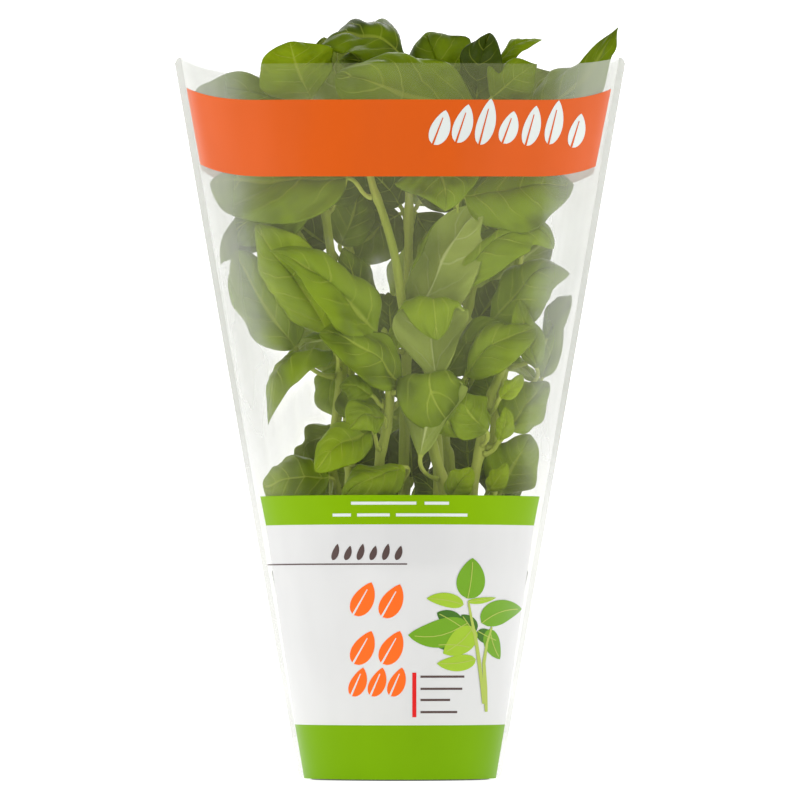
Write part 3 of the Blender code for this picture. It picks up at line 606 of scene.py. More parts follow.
# the leaf as laid out, then the nearest places in depth, then the same a little smaller
def leafTries(row):
    foot = Vector(row[1]) * mm + Vector((0, 0, soilTop))
    tip = Vector(row[2]) * mm + Vector((0, 0, soilTop))
    moves = [(a, b) for a in depthSteps for b in depthSteps]
    moves.sort(key=lambda move: abs(move[0]) + abs(move[1]) + 0.5 * abs(move[0] - move[1]))
    for size in sizeSteps:
        for footMove, tipMove in moves:
            newFoot = foot + Vector((0, footMove * mm, 0))
            newTip = newFoot + (tip + Vector((0, tipMove * mm, 0)) - newFoot) * size
            yield newFoot, newTip, row[3] * mm * size


# petiole and midrib curves, the blade's normal, and the way the petiole leaves the stem
def leafLine(stem, foot, tip, face, arch):
    chord = tip - foot
    axis = chord.normalized()
    normal = (face - axis * face.dot(axis)).normalized()
    bend = (foot + tip) / 2 + normal * 2 * arch * chord.length
    reach = math.hypot(foot.x - stem[len(stem) // 2].x, foot.y - stem[len(stem) // 2].y)
    for _ in range(3):
        centre, radius = stemPoint(stem, foot.z - leafShape["nodeDrop"] * reach)
        reach = math.hypot(foot.x - centre.x, foot.y - centre.y)
    out = Vector((foot.x - centre.x, foot.y - centre.y, 0.0)).normalized()
    start = centre + out * (radius + leafShape["frameGap"] + leafShape["petiole"] / 2)
    hold = (foot - start).length * leafShape["petioleHold"]
    lead = start + out * hold
    land = foot - (bend - foot).normalized() * hold

    def petiole(t):
        return (start * (1 - t) ** 3 + lead * 3 * t * (1 - t) ** 2
                + land * 3 * t * t * (1 - t) + foot * t ** 3)

    def midrib(t):
        return foot * (1 - t) ** 2 + bend * 2 * t * (1 - t) + tip * t * t

    return petiole, midrib, normal, axis, out, centre


# corners of the frame's own coarse leaf for one try
def cadBox(stem, foot, tip, width, face, arch, curl):
    petiole, midrib, normal, axis, out, _ = leafLine(stem, foot, tip, face, arch)
    line = [petiole(t) for t in cadPetioleStations] + [midrib(t) for t in cadBladeStations]
    back = framesAlong(line[::-1], normal.cross(axis))[::-1]
    points = [keepInside(tip, *framePress)]
    for k, point in enumerate(line):
        tangent, side = back[k][0] * -1, back[k][1]
        if k == 0:
            tangent = out
            side = (side - tangent * side.dot(tangent)).normalized()
        up = tangent.cross(side)
        if k < len(cadPetioleStations):
            half = leafShape["petiole"]
            ring = [side * half * math.cos(a) + up * half * math.sin(a)
                    for a in (math.tau * j / 8 for j in range(8))]
        else:
            share = bladeShare(cadBladeStations[k - len(cadPetioleStations)])
            half = max(leafShape["petiole"], width / 2 * share)
            thick = leafShape["cadThickness"] / 2
            ring = []
            for across, lift in ((1, 0), (0.5, 0.8), (0, 1), (-0.5, 0.8), (-1, 0), (-0.5, -0.8), (0, -1),
                                 (0.5, -0.8)):
                angle = across * curl
                ring.append(side * half * math.sin(angle) / curl - up * half * (1 - math.cos(angle)) / curl
                            + up * thick * lift)
        points += [keepInside(point + place, *framePress) for place in ring]
    low = Vector([min(point[i] for point in points) for i in range(3)])
    high = Vector([max(point[i] for point in points) for i in range(3)])
    return low, high


surelySame, hardlySame = 0.0002, 0.0005  # how far off a leaf's box may be


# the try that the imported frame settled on, told by its box
def frameTry(row, node):
    low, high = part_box(node)
    best = None
    for attempt in leafTries(row):
        boxLow, boxHigh = cadBox(cadStems[row[0] - 1], *attempt, Vector(row[4]), row[5], row[6])
        off = max((boxLow - low).length, (boxHigh - high).length)
        if best is None or off < best[0]:
            best = (off, attempt)
        if off < surelySame:
            break
    if best[0] > hardlySame:
        print("  note:", node, "is", round(best[0] / mm, 2), "mm off its box")
    return best[1]


# stations along petiole and midrib; the last stretch may hook sideways or flop over
def bladeLine(petiole, midrib, normal, axis, length, look, rng):
    petioleRows, bladeRows = leafShape["petioleRows"], leafShape["bladeRows"]
    stations = [(k / petioleRows - 1, petiole(k / petioleRows)) for k in range(petioleRows)]
    skew = look.get("skew", rng.uniform(-0.08, 0.08))
    droop = look.get("droop", rng.uniform(0.03, 0.12))
    cross = normal.cross(axis)
    plain = []
    for k in range(bladeRows + 1):
        t = k / bladeRows
        t = t + 0.5 * (t * t * (3 - 2 * t) - t)  # a little closer together at both ends
        sag = normal * (-droop * length * max(0.0, (t - 0.65) / 0.35) ** 2)
        bow = cross * (skew * length * math.sin(math.pi * t))
        plain.append((t, midrib(t) + sag + bow))
    hook, hookFrom, hookTo = look.get("hook", (rng.uniform(-0.4, 0.4), 0.6, 1.0))
    flop, flopFrom, flopTo = look.get("flop", (0.0, 0.6, 0.9))
    place = plain[0][1]
    stations.append((plain[0][0], place))
    for (t0, a), (t1, b) in zip(plain, plain[1:]):
        step = b - a
        middle = (t0 + t1) / 2
        if hook:
            step = Quaternion(normal, hook * smooth(hookFrom, hookTo, middle)) @ step
        if flop:
            step = Quaternion(cross, flop * smooth(flopFrom, flopTo, middle)) @ step
        place = place + step
        stations.append((t1, place))
    return stations


# run sideways, drop and slope of the bent blade at each column, as shares of its half width
def bentSection(t, curl, fold, look):
    section = {0: (0.0, 0.0, 0.0)}
    for way in (1, -1):
        run = drop = 0.0
        roll, rollFrom, low, high = look.get("rollPlus" if way > 0 else "rollMinus", (0.0, 0.6, 0.0, 1.0))
        roll *= smooth(low - 0.15, low + 0.1, t) * (1 - smooth(high - 0.1, high + 0.15, t))
        for j in range(1, len(leafColumns)):
            before, after = leafColumns[j - 1], leafColumns[j]
            at = (before + after) / 2
            slope = curl * at * (1 + leafShape["edgeCurl"] * at) + roll * smooth(rollFrom, 1.0, at)
            slope -= fold * (1 - smooth(0.0, 0.45, at)) * smooth(0.0, 0.15, t)
            run += (after - before) * math.cos(slope)
            drop += (after - before) * math.sin(slope)
            section[way * j] = (way * run, drop, way * slope)
    return section


# how far the skin stands off the bent blade: pillows between the veins, buckles, and waves at the margin
def bladeRelief(s, t, half, seed, phase, look):
    away = abs(s)
    level = (t - leafShape["lean"] * away - leafShape["sweep"] * away * away) * leafShape["veinPairs"]
    level += 0.12 if s < 0 else 0.0
    pillow = math.sin(math.pi * (level % 1.0)) ** 2 if t > 0 else 0.0
    dome = (away * (1 - away ** 3)) ** 0.7 if away < 1 else 0.0
    swell = leafShape["puff"] * look.get("puff", 1.0) * half * pillow * dome * smooth(0.02, 0.15, t)
    swell += leafShape["buckle"] * half * noise.noise(Vector((s * 1.3, t * 2.8, seed * 3.7)))
    margin = leafShape["wave"] * look.get("wave", 1.0) * half * away ** 3
    margin *= math.sin(level * 2.2 + phase + (1.7 if s < 0 else 0.0))
    return swell + margin


# upper and lower skin closed into one mesh; its slots are top, underside and petiole
def joinSkins(topPoints, underPoints, uvs, rows, count):
    points, faces, faceSlots, underUvs = topPoints[:], [], [], []
    under = [[0] * count for _ in range(rows)]
    for r in range(rows):
        for c in range(count):
            if c in (0, count - 1):
                under[r][c] = r * count + c
                continue
            under[r][c] = len(points)
            points.append(underPoints[r * count + c])
            underUvs.append(uvs[r * count + c])
    bladeStart = leafShape["petioleRows"] + 1
    for r in range(rows - 1):
        for c in range(count - 1):
            a = r * count + c
            faces.append((a, a + 1, a + count + 1, a + count))
            faces.append((under[r][c], under[r + 1][c], under[r + 1][c + 1], under[r][c + 1]))
            faceSlots += (0, 1) if r >= bladeStart else (2, 2)
    for r, atTip in ((0, False), (rows - 1, True)):
        for c in range(count - 1):
            ring = [r * count + c, r * count + c + 1, under[r][c + 1], under[r][c]]
            ring = [v for i, v in enumerate(ring) if v not in ring[:i]]
            if len(ring) > 2:
                faces.append(tuple(ring if atTip else ring[::-1]))
                faceSlots.append(0 if atTip else 2)
    return points, faces, faceSlots, uvs + underUvs


# closed blade with petiole: puffed between the veins, ribbed below, its margins wavy or rolled
def leafMesh(stem, foot, tip, width, face, arch, curl, seed, look):
    shape = leafShape
    tip = foot + (tip - foot) * look.get("long", 1.0)
    petiole, midrib, normal, axis = leafLine(stem, foot, tip, face, arch)[:4]
    rng = random.Random(seed)
    phase = rng.uniform(0, 6.28)
    basePower = look.get("base", 0.54 + rng.uniform(-0.04, 0.04))
    tipPower = look.get("tip", 0.74 + rng.uniform(-0.08, 0.08))
    widest = look.get("widest", 0.42 + rng.uniform(-0.03, 0.03))
    twist = look.get("twist", rng.uniform(-0.3, 0.3))
    curl = look.get("curl", curl * 1.25) + rng.uniform(-0.08, 0.08)
    fold = look.get("fold", rng.uniform(0.2, 0.5))
    width *= look.get("wide", 1.0)
    stations = bladeLine(petiole, midrib, normal, axis, (tip - foot).length, look, rng)
    # sides are carried both ways from the foot of the blade, so that a bend near the tip turns only the tip
    line = [point for _, point in stations]
    cross = normal.cross(axis)
    footRow = shape["petioleRows"]
    frames = [(tangent * -1, side) for tangent, side in framesAlong(line[footRow::-1], cross)[:0:-1]]
    frames += framesAlong(line[footRow:], cross)
    middle = len(leafColumns) - 1
    topPoints, underPoints, uvs = [], [], []
    for (t, point), (tangent, side) in zip(stations, frames):
        up = tangent.cross(side)
        if t > 0:
            turned, lifted = math.cos(twist * t), math.sin(twist * t)
            side, up = side * turned + up * lifted, up * turned - side * lifted
            blade = width / 2 * bladeShare(t, basePower, tipPower, widest) if t < 1 else 0.0
            half = max(blade, shape["petiole"] * (1 - smooth(0.0, 0.05, t)) + shape["edge"])
            rib = shape["petiole"] * (1 - 0.85 * smooth(0.0, 0.9, t))
        else:
            half = rib = shape["petiole"] * (1 + 0.5 * smooth(-0.75, -1.0, t))  # wider at the stem
        sheet = smooth(0.0, 0.06, t)  # 0 on the round petiole, 1 on the flat blade
        section = bentSection(t, curl, fold, look)
        for j in range(-middle, middle + 1):
            s = math.copysign(leafColumns[abs(j)], j) if j else 0.0
            run, drop, slope = section[j]
            relief = bladeRelief(s, t, half, seed, phase, look)
            tooth = 1.0
            if t > 0.15 and abs(s) > 0.8:
                tooth += shape["serration"] * (abs(s) - 0.8) / 0.2 * abs(math.sin(t * 34 + phase)) ** 0.6
            lift = up * math.cos(slope) + side * math.sin(slope)  # normal of the bent section
            place = point + side * (run * half * tooth) - up * (drop * half) + lift * relief * sheet
            roundTop = math.sqrt(max(0.0, 1 - s * s))
            solid = shape["thickness"] / 2 * roundTop ** 0.5
            ribBody = rib * math.exp(-(s * half / (rib * 0.9 + 1e-6)) ** 2)
            topLift = (1 - sheet) * rib * roundTop + sheet * (solid - 0.25 * ribBody)
            underLift = (1 - sheet) * rib * roundTop + sheet * (solid + ribBody)
            topPoints.append(keepInside(place + lift * topLift))
            underPoints.append(keepInside(place - lift * underLift))
            uvs.append((0.5 + 0.5 * s, max(t, 0.0)))
    return joinSkins(topPoints, underPoints, uvs, len(stations), 2 * middle + 1)


# what single leaves do beside the table: share of width and length, where and how they bend or roll
straight = (0.0, 0.7, 1.0)  # for a tip that doesn't hook
leafLooks = {
    1: {"widest": 0.6, "base": 0.8, "tip": 0.62, "wide": 1.18, "fold": 0.15, "hook": straight},
    2: {"wide": 1.3, "wave": 1.6, "fold": 0.4},
    3: {"tip": 0.6, "fold": 0.3, "twist": 0.1, "hook": straight},
    4: {"tip": 0.66, "curl": 0.7},
    5: {"fold": 0.9, "curl": 0.2},
    7: {"wave": 2.2, "tip": 0.95},
    8: {"widest": 0.34, "base": 0.6, "tip": 1.15, "wave": 2.0, "wide": 1.35, "curl": 0.7,
        "hook": (0.2, 0.5, 1.0)},
    9: {"tip": 0.66, "base": 0.5, "wide": 0.8, "hook": straight},
    10: {"wide": 0.84, "wave": 1.8, "tip": 0.66, "fold": 0.25, "skew": 0.04},
    12: {"tip": 0.65, "curl": 0.6},
    13: {"rollPlus": (1.5, 0.45, 0.25, 1.0), "tip": 0.6, "fold": 0.35},
    14: {"rollMinus": (1.7, 0.5, 0.1, 0.75), "fold": 0.75, "curl": 0.15, "wave": 0.6, "wide": 1.15,
         "tip": 0.95},
    15: {"fold": 0.35, "tip": 0.6, "wide": 1.1, "curl": 0.4, "puff": 0.5, "skew": -0.03, "hook": straight},
    16: {"wide": 1.3, "widest": 0.36, "tip": 1.0, "twist": 0.3},
    18: {"rollMinus": (2.4, 0.5, 0.0, 0.95), "hook": (0.9, 0.75, 1.0), "tip": 0.6, "curl": -0.3,
         "wide": 1.15},
    19: {"wide": 0.95, "wave": 1.6, "fold": 0.2},
    20: {"fold": 0.4, "tip": 0.95, "wide": 1.1},
    21: {"hook": (-1.5, 0.7, 1.0), "fold": 0.5, "curl": 0.7, "skew": 0.1, "tip": 0.6, "base": 0.6},
    22: {"tip": 0.7, "curl": 0.9, "wide": 1.05, "hook": (-1.0, 0.6, 1.0)},
    23: {"long": 1.35, "wide": 1.1, "flop": (2.3, 0.6, 0.85), "widest": 0.5, "tip": 0.66, "base": 0.75,
         "fold": 0.2, "hook": straight},
    24: {"fold": 0.5, "curl": 0.6, "tip": 0.6, "wide": 1.1},
    25: {"curl": 0.8, "tip": 0.6},
    26: {"twist": 0.9, "fold": 0.6},
    27: {"wide": 0.85, "curl": 0.5, "twist": 0.9, "tip": 1.0},
    28: {"long": 1.8, "flop": (2.5, 0.46, 0.68), "widest": 0.5, "base": 0.8, "tip": 0.65, "fold": 0.2,
         "hook": (0.8, 0.5, 0.9), "skew": 0.06},
    30: {"curl": 0.8},
    31: {"tip": 0.7, "wide": 1.2, "curl": 0.5},
    32: {"curl": 0.5, "hook": straight, "fold": 0.35, "tip": 0.62, "wave": 0.8},
    33: {"wide": 1.6, "skew": -0.15},
    34: {"tip": 0.62, "curl": 0.7, "fold": 0.2},
    35: {"fold": 0.45, "curl": 0.6, "tip": 0.8}}
roomTries = 60  # places tried for a leaf of the second table
frameLeafWidth = 1.04  # width of a leaf of the first table, as a share of the frame's
leafTrees, plantPoints, plantFaces = [], [], []


# mesh of a row's leaf at a place that leafTries gave
def shapeLeaf(row, place, seed, look, wider=1.0):
    foot, tip, width = place
    stem = cadStems[row[0] - 1]
    return leafMesh(stem, foot, tip, width * wider, Vector(row[4]), row[5], row[6], seed, look)


# put a shaped leaf into the scene, and into all that later pieces look at
def keepLeaf(name, row, place, shaped):
    points, faces, faceSlots, uvs = shaped
    leaf = meshPiece(name, points, faces, [leafTop, leafUnder, stemGreen], uvs, faceSlots,
                     {"toneAndShade": [row[7]] * len(points)})
    leafTrees.append(BVHTree.FromPolygons(points, faces))
    plantFaces.extend([corner + len(plantPoints) for corner in face] for face in faces)
    plantPoints.extend(points)
    stemNodes[row[0] - 1].append(leafLine(cadStems[row[0] - 1], *place[:2], Vector(row[4]), row[5])[5].z)
    return leaf


print("growing leaves")
for number, row in enumerate(leafTable, 1):
    node = "leaf_%02d" % number
    place = frameTry(row, node)
    shaped = shapeLeaf(row, place, number, leafLooks.get(number, {}), frameLeafWidth)
    leaf = keepLeaf(node + "_blade", row, place, shaped)
    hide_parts(node)

for number, row in enumerate(fillTable, 1):
    for step, place in enumerate(leafTries(row)):
        shaped = shapeLeaf(row, place, 100 + number, {})
        tree = BVHTree.FromPolygons(shaped[0], shaped[1])
        if step > roomTries or not any(tree.overlap(other) for other in leafTrees):
            break
    if step > roomTries:
        print("  no clear room for fill leaf", number)
    else:
        keepLeaf("leaf_fill_%02d" % number, row, place, shaped)
print("leaves grown:", len(leafTrees))

stemPieces = [makeStem(number) for number in range(len(stemTable))]
print("stems grown:", len(stemPieces))


soilLook = {
    "rings": 46, "spokes": 120, "wave": 0.0009, "lump": 0.0012, "crumbs": 260, "crumbSize": (0.0008, 0.0026),
    "crumbEdge": 0.003, "crumbLift": 0.0012}


def makePeat():
    material, tree, shader = newMaterial("peat", Roughness=0.95)
    grain = placeGroup(tree, fineGrain, coarse=220.0, fine=1500.0)
    patches = rangeNode(tree, grain.outputs["patches"], 0.3, 0.7)
    colour = mixColours(tree, patches, tint(34, 24, 17), tint(74, 54, 38))
    colour = mixColours(tree, rangeNode(tree, grain.outputs["grain"], 0.55, 0.75), colour, tint(110, 84, 60))
    tree.links.new(colour, shader.inputs["Base Color"])
    bumpInto(tree, shader, grain.outputs["grain"], 0.0012, 0.9)
    return material


# loose crumb: a rough eight-sided lump
def addCrumb(points, faces, edge, rng):
    angle, radius = rng.uniform(0, math.tau), (edge - soilLook["crumbEdge"]) * math.sqrt(rng.random())
    size = rng.uniform(*soilLook["crumbSize"])
    height = soilTop + soilLook["crumbLift"] + size * 0.3
    centre = Vector((radius * math.cos(angle), radius * math.sin(angle), height))
    start = len(points)
    lean = Vector((rng.uniform(-1, 1), rng.uniform(-1, 1), rng.uniform(-1, 1)))
    for corner in ((1, 0, 0), (0, 1, 0), (-1, 0, 0), (0, -1, 0), (0.2, 0.1, 1), (0.1, -0.2, -1)):
        reach = size * rng.uniform(0.55, 1.1)
        points.append(centre + (Vector(corner) + lean * 0.35) * reach * 0.6)
    for a, b in ((0, 1), (1, 2), (2, 3), (3, 0)):
        faces.append((start + a, start + b, start + 4))
        faces.append((start + b, start + a, start + 5))


# peat that sits inside the pot, lumpy on top, with loose crumbs
def makeSoil():
    low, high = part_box("soil")
    edge = high.x
    rings, spokes = soilLook["rings"], soilLook["spokes"]
    points, faces = [], []
    for r in range(rings + 1):
        for s in range(spokes):
            angle = math.tau * s / spokes
            radius = edge * r / rings
            x, y = radius * math.cos(angle), radius * math.sin(angle)
            waves = math.sin(x * 210 + 1.3) * math.cos(y * 170 + 0.4) + 0.6 * math.sin(x * 90 - y * 130 + 2.0)
            lumps = noise.fractal(Vector((x, y, 0)) * 130, 0.8, 2.1, 4)
            points.append(Vector((x, y, soilTop + soilLook["wave"] * waves + soilLook["lump"] * lumps)))
    base = len(points)
    top = potShape["rimRadius"] - potShape["rimOverhang"]
    lowRadius = edge - (top - potShape["baseRadius"]) / potShape["height"] * (soilTop - low.z)
    for s in range(spokes):
        angle = math.tau * s / spokes
        points.append(Vector((lowRadius * math.cos(angle), lowRadius * math.sin(angle), low.z)))
        n = (s + 1) % spokes
        for r in range(rings):
            faces.append((r * spokes + s, (r + 1) * spokes + s, (r + 1) * spokes + n, r * spokes + n))
        faces.append((rings * spokes + s, base + s, base + n, rings * spokes + n))
    faces.append(tuple(range(base, base + spokes))[::-1])
    rng = random.Random(7)
    for _ in range(soilLook["crumbs"]):
        addCrumb(points, faces, edge, rng)
    piece = meshPiece("soil_peat", points, faces, [makePeat()])
    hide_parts("soil")


def dressPot():
    material, tree, shader = newMaterial("potPlastic", IOR=1.5)
    grain = placeGroup(tree, fineGrain, coarse=45.0, fine=700.0)
    patches = grain.outputs["patches"]
    colour = mixColours(tree, rangeNode(tree, patches, 0.35, 0.75), tint(38, 36, 34), tint(60, 55, 50))
    feed(tree, shader, colour, rangeNode(tree, patches, 0.3, 0.7, 0.38, 0.62))
    bumpInto(tree, shader, grain.outputs["grain"], 0.0001, 0.3)
    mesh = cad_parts["pot"].data
    mesh.materials.clear()
    mesh.materials.append(material)


makeSoil()
dressPot()
print("soil and pot ready")


# the extra cover towards the sides, with where it starts and ends, is painted sheen on the film
filmLook = {
    "columns": 132, "rows": 150, "lowHaze": 0.06, "haze": 0.105, "hazeFrom": 0.17, "hazeTo": 0.29,
    "touchClear": 0.045, "touchNear": 0.0015, "touchFar": 0.010, "farHaze": 0.035, "farNear": 0.008,
    "farFull": 0.022, "sideSheen": 0.35, "sheenFrom": 0.6, "sheenTo": 1.0, "streak": 0.12, "finHaze": 0.5,
    "potShare": 0.5, "potTo": 0.12, "freeFrom": 0.2, "openHaze": 0.22, "openReach": 0.0025,
    "seamGap": 0.0002, "lowRound": 0.004, "topRound": 0.003}


# clear film whose cover comes from the haze kept on the mesh; its colour turns whiter where that haze is
# high, which paints the reflection of the side lamps on the film towards the welded sides
def makeFilmMaterial():
    material, tree, shader = newMaterial("clearFilm", **{"IOR": 1.6, "Specular IOR Level": 0.4})
    haze = addNode(tree, "ShaderNodeAttribute", attribute_name="haze").outputs["Fac"]
    tree.links.new(haze, shader.inputs["Alpha"])
    # whiter colour with more haze: painted reflection on the film's sides
    colour = mixColours(tree, rangeNode(tree, haze, 0.14, 0.32), tint(194, 198, 150), tint(211, 213, 204))
    patches = placeGroup(tree, fineGrain, coarse=16.0, fine=220.0, stretch=0.15).outputs["patches"]
    feed(tree, shader, colour, rangeNode(tree, patches, 0.3, 0.7, 0.22, 0.36))
    bumpInto(tree, shader, patches, 0.0008, 0.15)
    return material


clearFilm = makeFilmMaterial()
leafCloud = kdtree.KDTree(len(plantPoints))
for index, point in enumerate(plantPoints):
    leafCloud.insert(point, index)
leafCloud.balance()
for stem in stemPieces:
    plantFaces.extend([corner + len(plantPoints) for corner in face.vertices] for face in stem.data.polygons)
    plantPoints.extend(vertex.co for vertex in stem.data.vertices)
plantTree = BVHTree.FromPolygons(plantPoints, plantFaces)


# how much of the film round a spot has nothing behind it, straight through the sleeve's depth
def openShare(point, angle):
    inward = Vector((0, -math.copysign(1.0, math.sin(angle)), 0))
    spots = [Vector((x, 0, z)) * filmLook["openReach"] for x in (-1, 0, 1) for z in (-1, 0, 1)]
    return sum(plantTree.ray_cast(point + spot, inward)[0] is None for spot in spots) / len(spots)


# the film clings to the pot low down and looks clearer there
def lowFade(level):
    return between(filmLook["potShare"], 1.0, smooth(filmLook["potTo"], filmLook["freeFrom"], level))


# how milky the film looks: clearer where a leaf lies on it; towards the welded sides it is made milkier as
# painted sheen, standing in for the film's reflection where it turns away
def hazeAndSheenAt(point, angle, level):
    look = filmLook
    nearest = leafCloud.find(point)[2]
    value = between(look["lowHaze"], look["haze"], smooth(look["hazeFrom"], look["hazeTo"], level))
    value -= look["touchClear"] * (1 - smooth(look["touchNear"], look["touchFar"], nearest))
    value += look["farHaze"] * smooth(look["farNear"], look["farFull"], nearest)
    # painted sheen: extra cover towards the welded sides in place of the film's reflection there
    side = smooth(look["sheenFrom"], look["sheenTo"], abs(math.cos(angle)))
    value += look["sideSheen"] * side
    if level > potShape["height"]:
        value += look["openHaze"] * (1 - side) * openShare(point, angle)
    value *= 1 + look["streak"] * noise.noise(Vector((math.cos(angle) * 30, level * 4, 2.0)))
    return value * lowFade(level)


# one of the two sheets, from seam to seam, with its own layer of the welded fins
def buildSheet(name, firstAngle, seamY):
    columns, rows = filmLook["columns"], filmLook["rows"]
    points, haze = [], []
    for r in range(rows + 1):
        level = filmShape["height"] * r / rows
        for c in range(columns + 1):
            angle = firstAngle + math.pi * c / columns
            points.append(filmPoint(angle, level))
            haze.append(hazeAndSheenAt(points[-1], angle, level))
    faces = gridFaces(rows + 1, columns + 1, 0, True)
    for edge in (0, columns):
        start = len(points)
        for r in range(rows + 1):
            joint = points[r * (columns + 1) + edge]
            for step in (0.0, 0.35, 0.7, 1.0):
                low = filmShape["lift"] + filmLook["lowRound"] * step ** 3
                high = filmShape["height"] - filmLook["topRound"] * step ** 3
                x = joint.x + math.copysign(filmShape["seam"] * step, joint.x)
                points.append(Vector((x, seamY, between(low, high, r / rows))))
                haze.append(filmLook["finHaze"] * lowFade(filmShape["height"] * r / rows))
        faces += gridFaces(rows + 1, 4, start, (points[edge].x > 0) == (firstAngle > 0))
    sheet = meshPiece(name, points, faces, [clearFilm], floats={"haze": haze})
    return sheet


frontSheet = buildSheet("sleeve_front_sheet", math.pi, -filmLook["seamGap"])
backSheet = buildSheet("sleeve_back_sheet", 0.0, filmLook["seamGap"])
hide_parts("sleeve")
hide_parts("sleeve")
print("film sheets ready")


# how far each layer of print stands off the film
printLift = {
    "band": 0.00012, "mark": 0.00024, "rib": 0.00032, "sprig": 0.0003, "sprigStep": 0.00004,
    "sprigStem": 0.00046}
# colour of each ink, and its shine and cover where they aren't the usual ones
inkLooks = {
    "orange": (tint(221, 90, 0),), "orangeThin": (tint(244, 112, 30), 0.1, 0.76),
    "grass": (tint(134, 180, 0), 0.06), "grassDeep": (tint(122, 170, 0), 0.06),
    "panel": (tint(222, 222, 221),), "mark": (tint(255, 106, 0),), "red": (tint(226, 0, 0),),
    "brown": (tint(88, 70, 66),), "pale": (tint(228, 234, 230),), "sprigPale": (tint(160, 196, 40),),
    "sprigMid": (tint(112, 164, 14),), "sprigDark": (tint(62, 112, 16),), "sprigStem": (tint(176, 194, 84),)}


def makeInk(name, colour, shine=0.26, cover=1.0):
    material, tree, shader = newMaterial(name, **{"IOR": 1.5, "Specular IOR Level": shine, "Alpha": cover})
    patches = placeGroup(tree, fineGrain, coarse=26.0, fine=1400.0, stretch=0.4).outputs["patches"]
    deep = [part * 0.93 for part in colour[:3]] + [1.0]
    printed = mixColours(tree, rangeNode(tree, patches, 0.25, 0.75), colour, deep)
    feed(tree, shader, printed, rangeNode(tree, patches, 0.3, 0.7, 0.28, 0.38))
    bumpInto(tree, shader, patches, 0.0008, 0.15)
    return material


inks = {name: makeInk(name + "Ink", *look) for name, look in inkLooks.items()}


# printed band between two levels; ends tell how far it stops from the seams: left at the bottom and the
# top, then right
def bandPiece(name, ink, lowLevel, highLevel, ends, firstAngle, columns=120):
    rows = max(2, round((highLevel - lowLevel) / 0.003))
    points = []
    for r in range(rows + 1):
        level = between(lowLevel, highLevel, r / rows)
        width = filmSection(level)[0]
        left = between(ends[0], ends[1], r / rows)
        right = between(ends[2], ends[3], r / rows)
        leftAngle = math.acos(max(-1.0, min(1.0, 1 - left / width)))
        rightAngle = math.acos(max(-1.0, min(1.0, 1 - right / width)))
        for c in range(columns + 1):
            angle = firstAngle + between(leftAngle, math.pi - rightAngle, c / columns)
            points.append(filmPoint(angle, level, printLift["band"]))
    piece = meshPiece(name, points, gridFaces(rows + 1, columns + 1, 0, True), [inks[ink]])
    return piece


bandPiece("print_top_band", "orange", 0.308, 0.346, (0.0008, 0.0004, 0.0028, 0.0015), math.pi)
bandPiece("print_top_band_back", "orangeThin", 0.306, 0.346, (0.0028, 0.0015, 0.0008, 0.0004), 0.0)
bandPiece("print_middle_band", "grass", 0.1265, 0.141, (0.0032, 0.0028, 0.0032, 0.0028), math.pi)
bandPiece("print_middle_band_back", "grass", 0.1265, 0.141, (0.0032, 0.0028, 0.0032, 0.0028), 0.0)
bandPiece("print_panel", "panel", 0.0275, 0.1265, (0.0006, 0.0032, 0.0006, 0.0032), math.pi)
bandPiece("print_foot_band", "grassDeep", 0.0006, 0.0275, (0.0006, 0.0006, 0.0006, 0.0006), math.pi)
bandPiece("print_foot_band_back", "grassDeep", 0.0006, 0.0275, (0.0006, 0.0006, 0.0006, 0.0006), 0.0)
print("bands printed")


# place on the front of the film that shows at x, z (mm) from straight ahead
def onFront(x, z, offset):
    x, z = x * mm, z * mm
    level = z
    for _ in range(5):
        angle = frontAngle(x, level)
        level = z + filmDip(level) * dipShare(angle)
    return filmPoint(angle, level, offset)


# printed marks; each stroke is a list of (x, z, half width) in mm, drawn flat on the film
def markPiece(name, ink, strokes, lift=printLift["mark"]):
    points, faces = [], []
    for stroke in strokes:
        start, rows = len(points), len(stroke)
        for k, (x, z, half) in enumerate(stroke):
            x0, z0, _ = stroke[max(k - 1, 0)]
            x1, z1, _ = stroke[min(k + 1, rows - 1)]
            run = math.hypot(x1 - x0, z1 - z0)
            acrossX, acrossZ = (z1 - z0) / run * half, -(x1 - x0) / run * half
            points += [onFront(x + acrossX * s, z + acrossZ * s, lift) for s in (-1, -0.5, 0, 0.5, 1)]
        faces += gridFaces(rows, 5, start, False)
    meshPiece(name, points, faces, [inks[ink]])


# straight printed bar
def bar(x0, z0, x1, z1, half, step=4):
    count = max(1, round(math.hypot(x1 - x0, z1 - z0) / step))
    return [(between(x0, x1, k / count), between(z0, z1, k / count), half) for k in range(count + 1)]


# a leaf shape from its foot to its tip, its middle bowed sideways
def leafStroke(x0, z0, x1, z1, width, bow=0.0, rows=18):
    run = math.hypot(x1 - x0, z1 - z0)
    stroke = []
    for k in range(rows + 1):
        t = k / rows
        side = bow * math.sin(math.pi * t)
        half = width / 2 * bladeShare(min(max(t, 0.001), 0.999), 0.55, 0.8)
        x, z = between(x0, x1, t), between(z0, z1, t)
        stroke.append((x + (z1 - z0) / run * side, z - (x1 - x0) / run * side, half))
    return stroke


# plain leaf shapes and bars where a printed sleeve carries its lettering
topLeaves = [(16 + 11.4 * k, 314 + k % 2, 22.5 + 11.2 * k, 331 + 3 * (k % 3), 9.6 - 0.3 * k)
             for k in range(7)]
panelLeaves = [(-23, 82, -14, 98, 10.5), (-9, 81, 0, 97, 10.5), (-23, 58, -14, 74, 10.5),
               (-9, 58, 0, 74, 10.5)] + [(x, 42, x + 6, 56, 8) for x in (-24, -14.5, -5)]
brownLeaves = [(-33 + 6.2 * k, 109, -30.5 + 6.2 * k, 117 - k % 2, 3.2) for k in range(6)]


# midrib of a printed leaf, thinner towards its tip
def ribStroke(x0, z0, x1, z1):
    return [(between(x0, x1, t), between(z0, z1, t), 0.5 - 0.35 * t) for t in (0.0, 0.2, 0.4, 0.6, 0.78)]


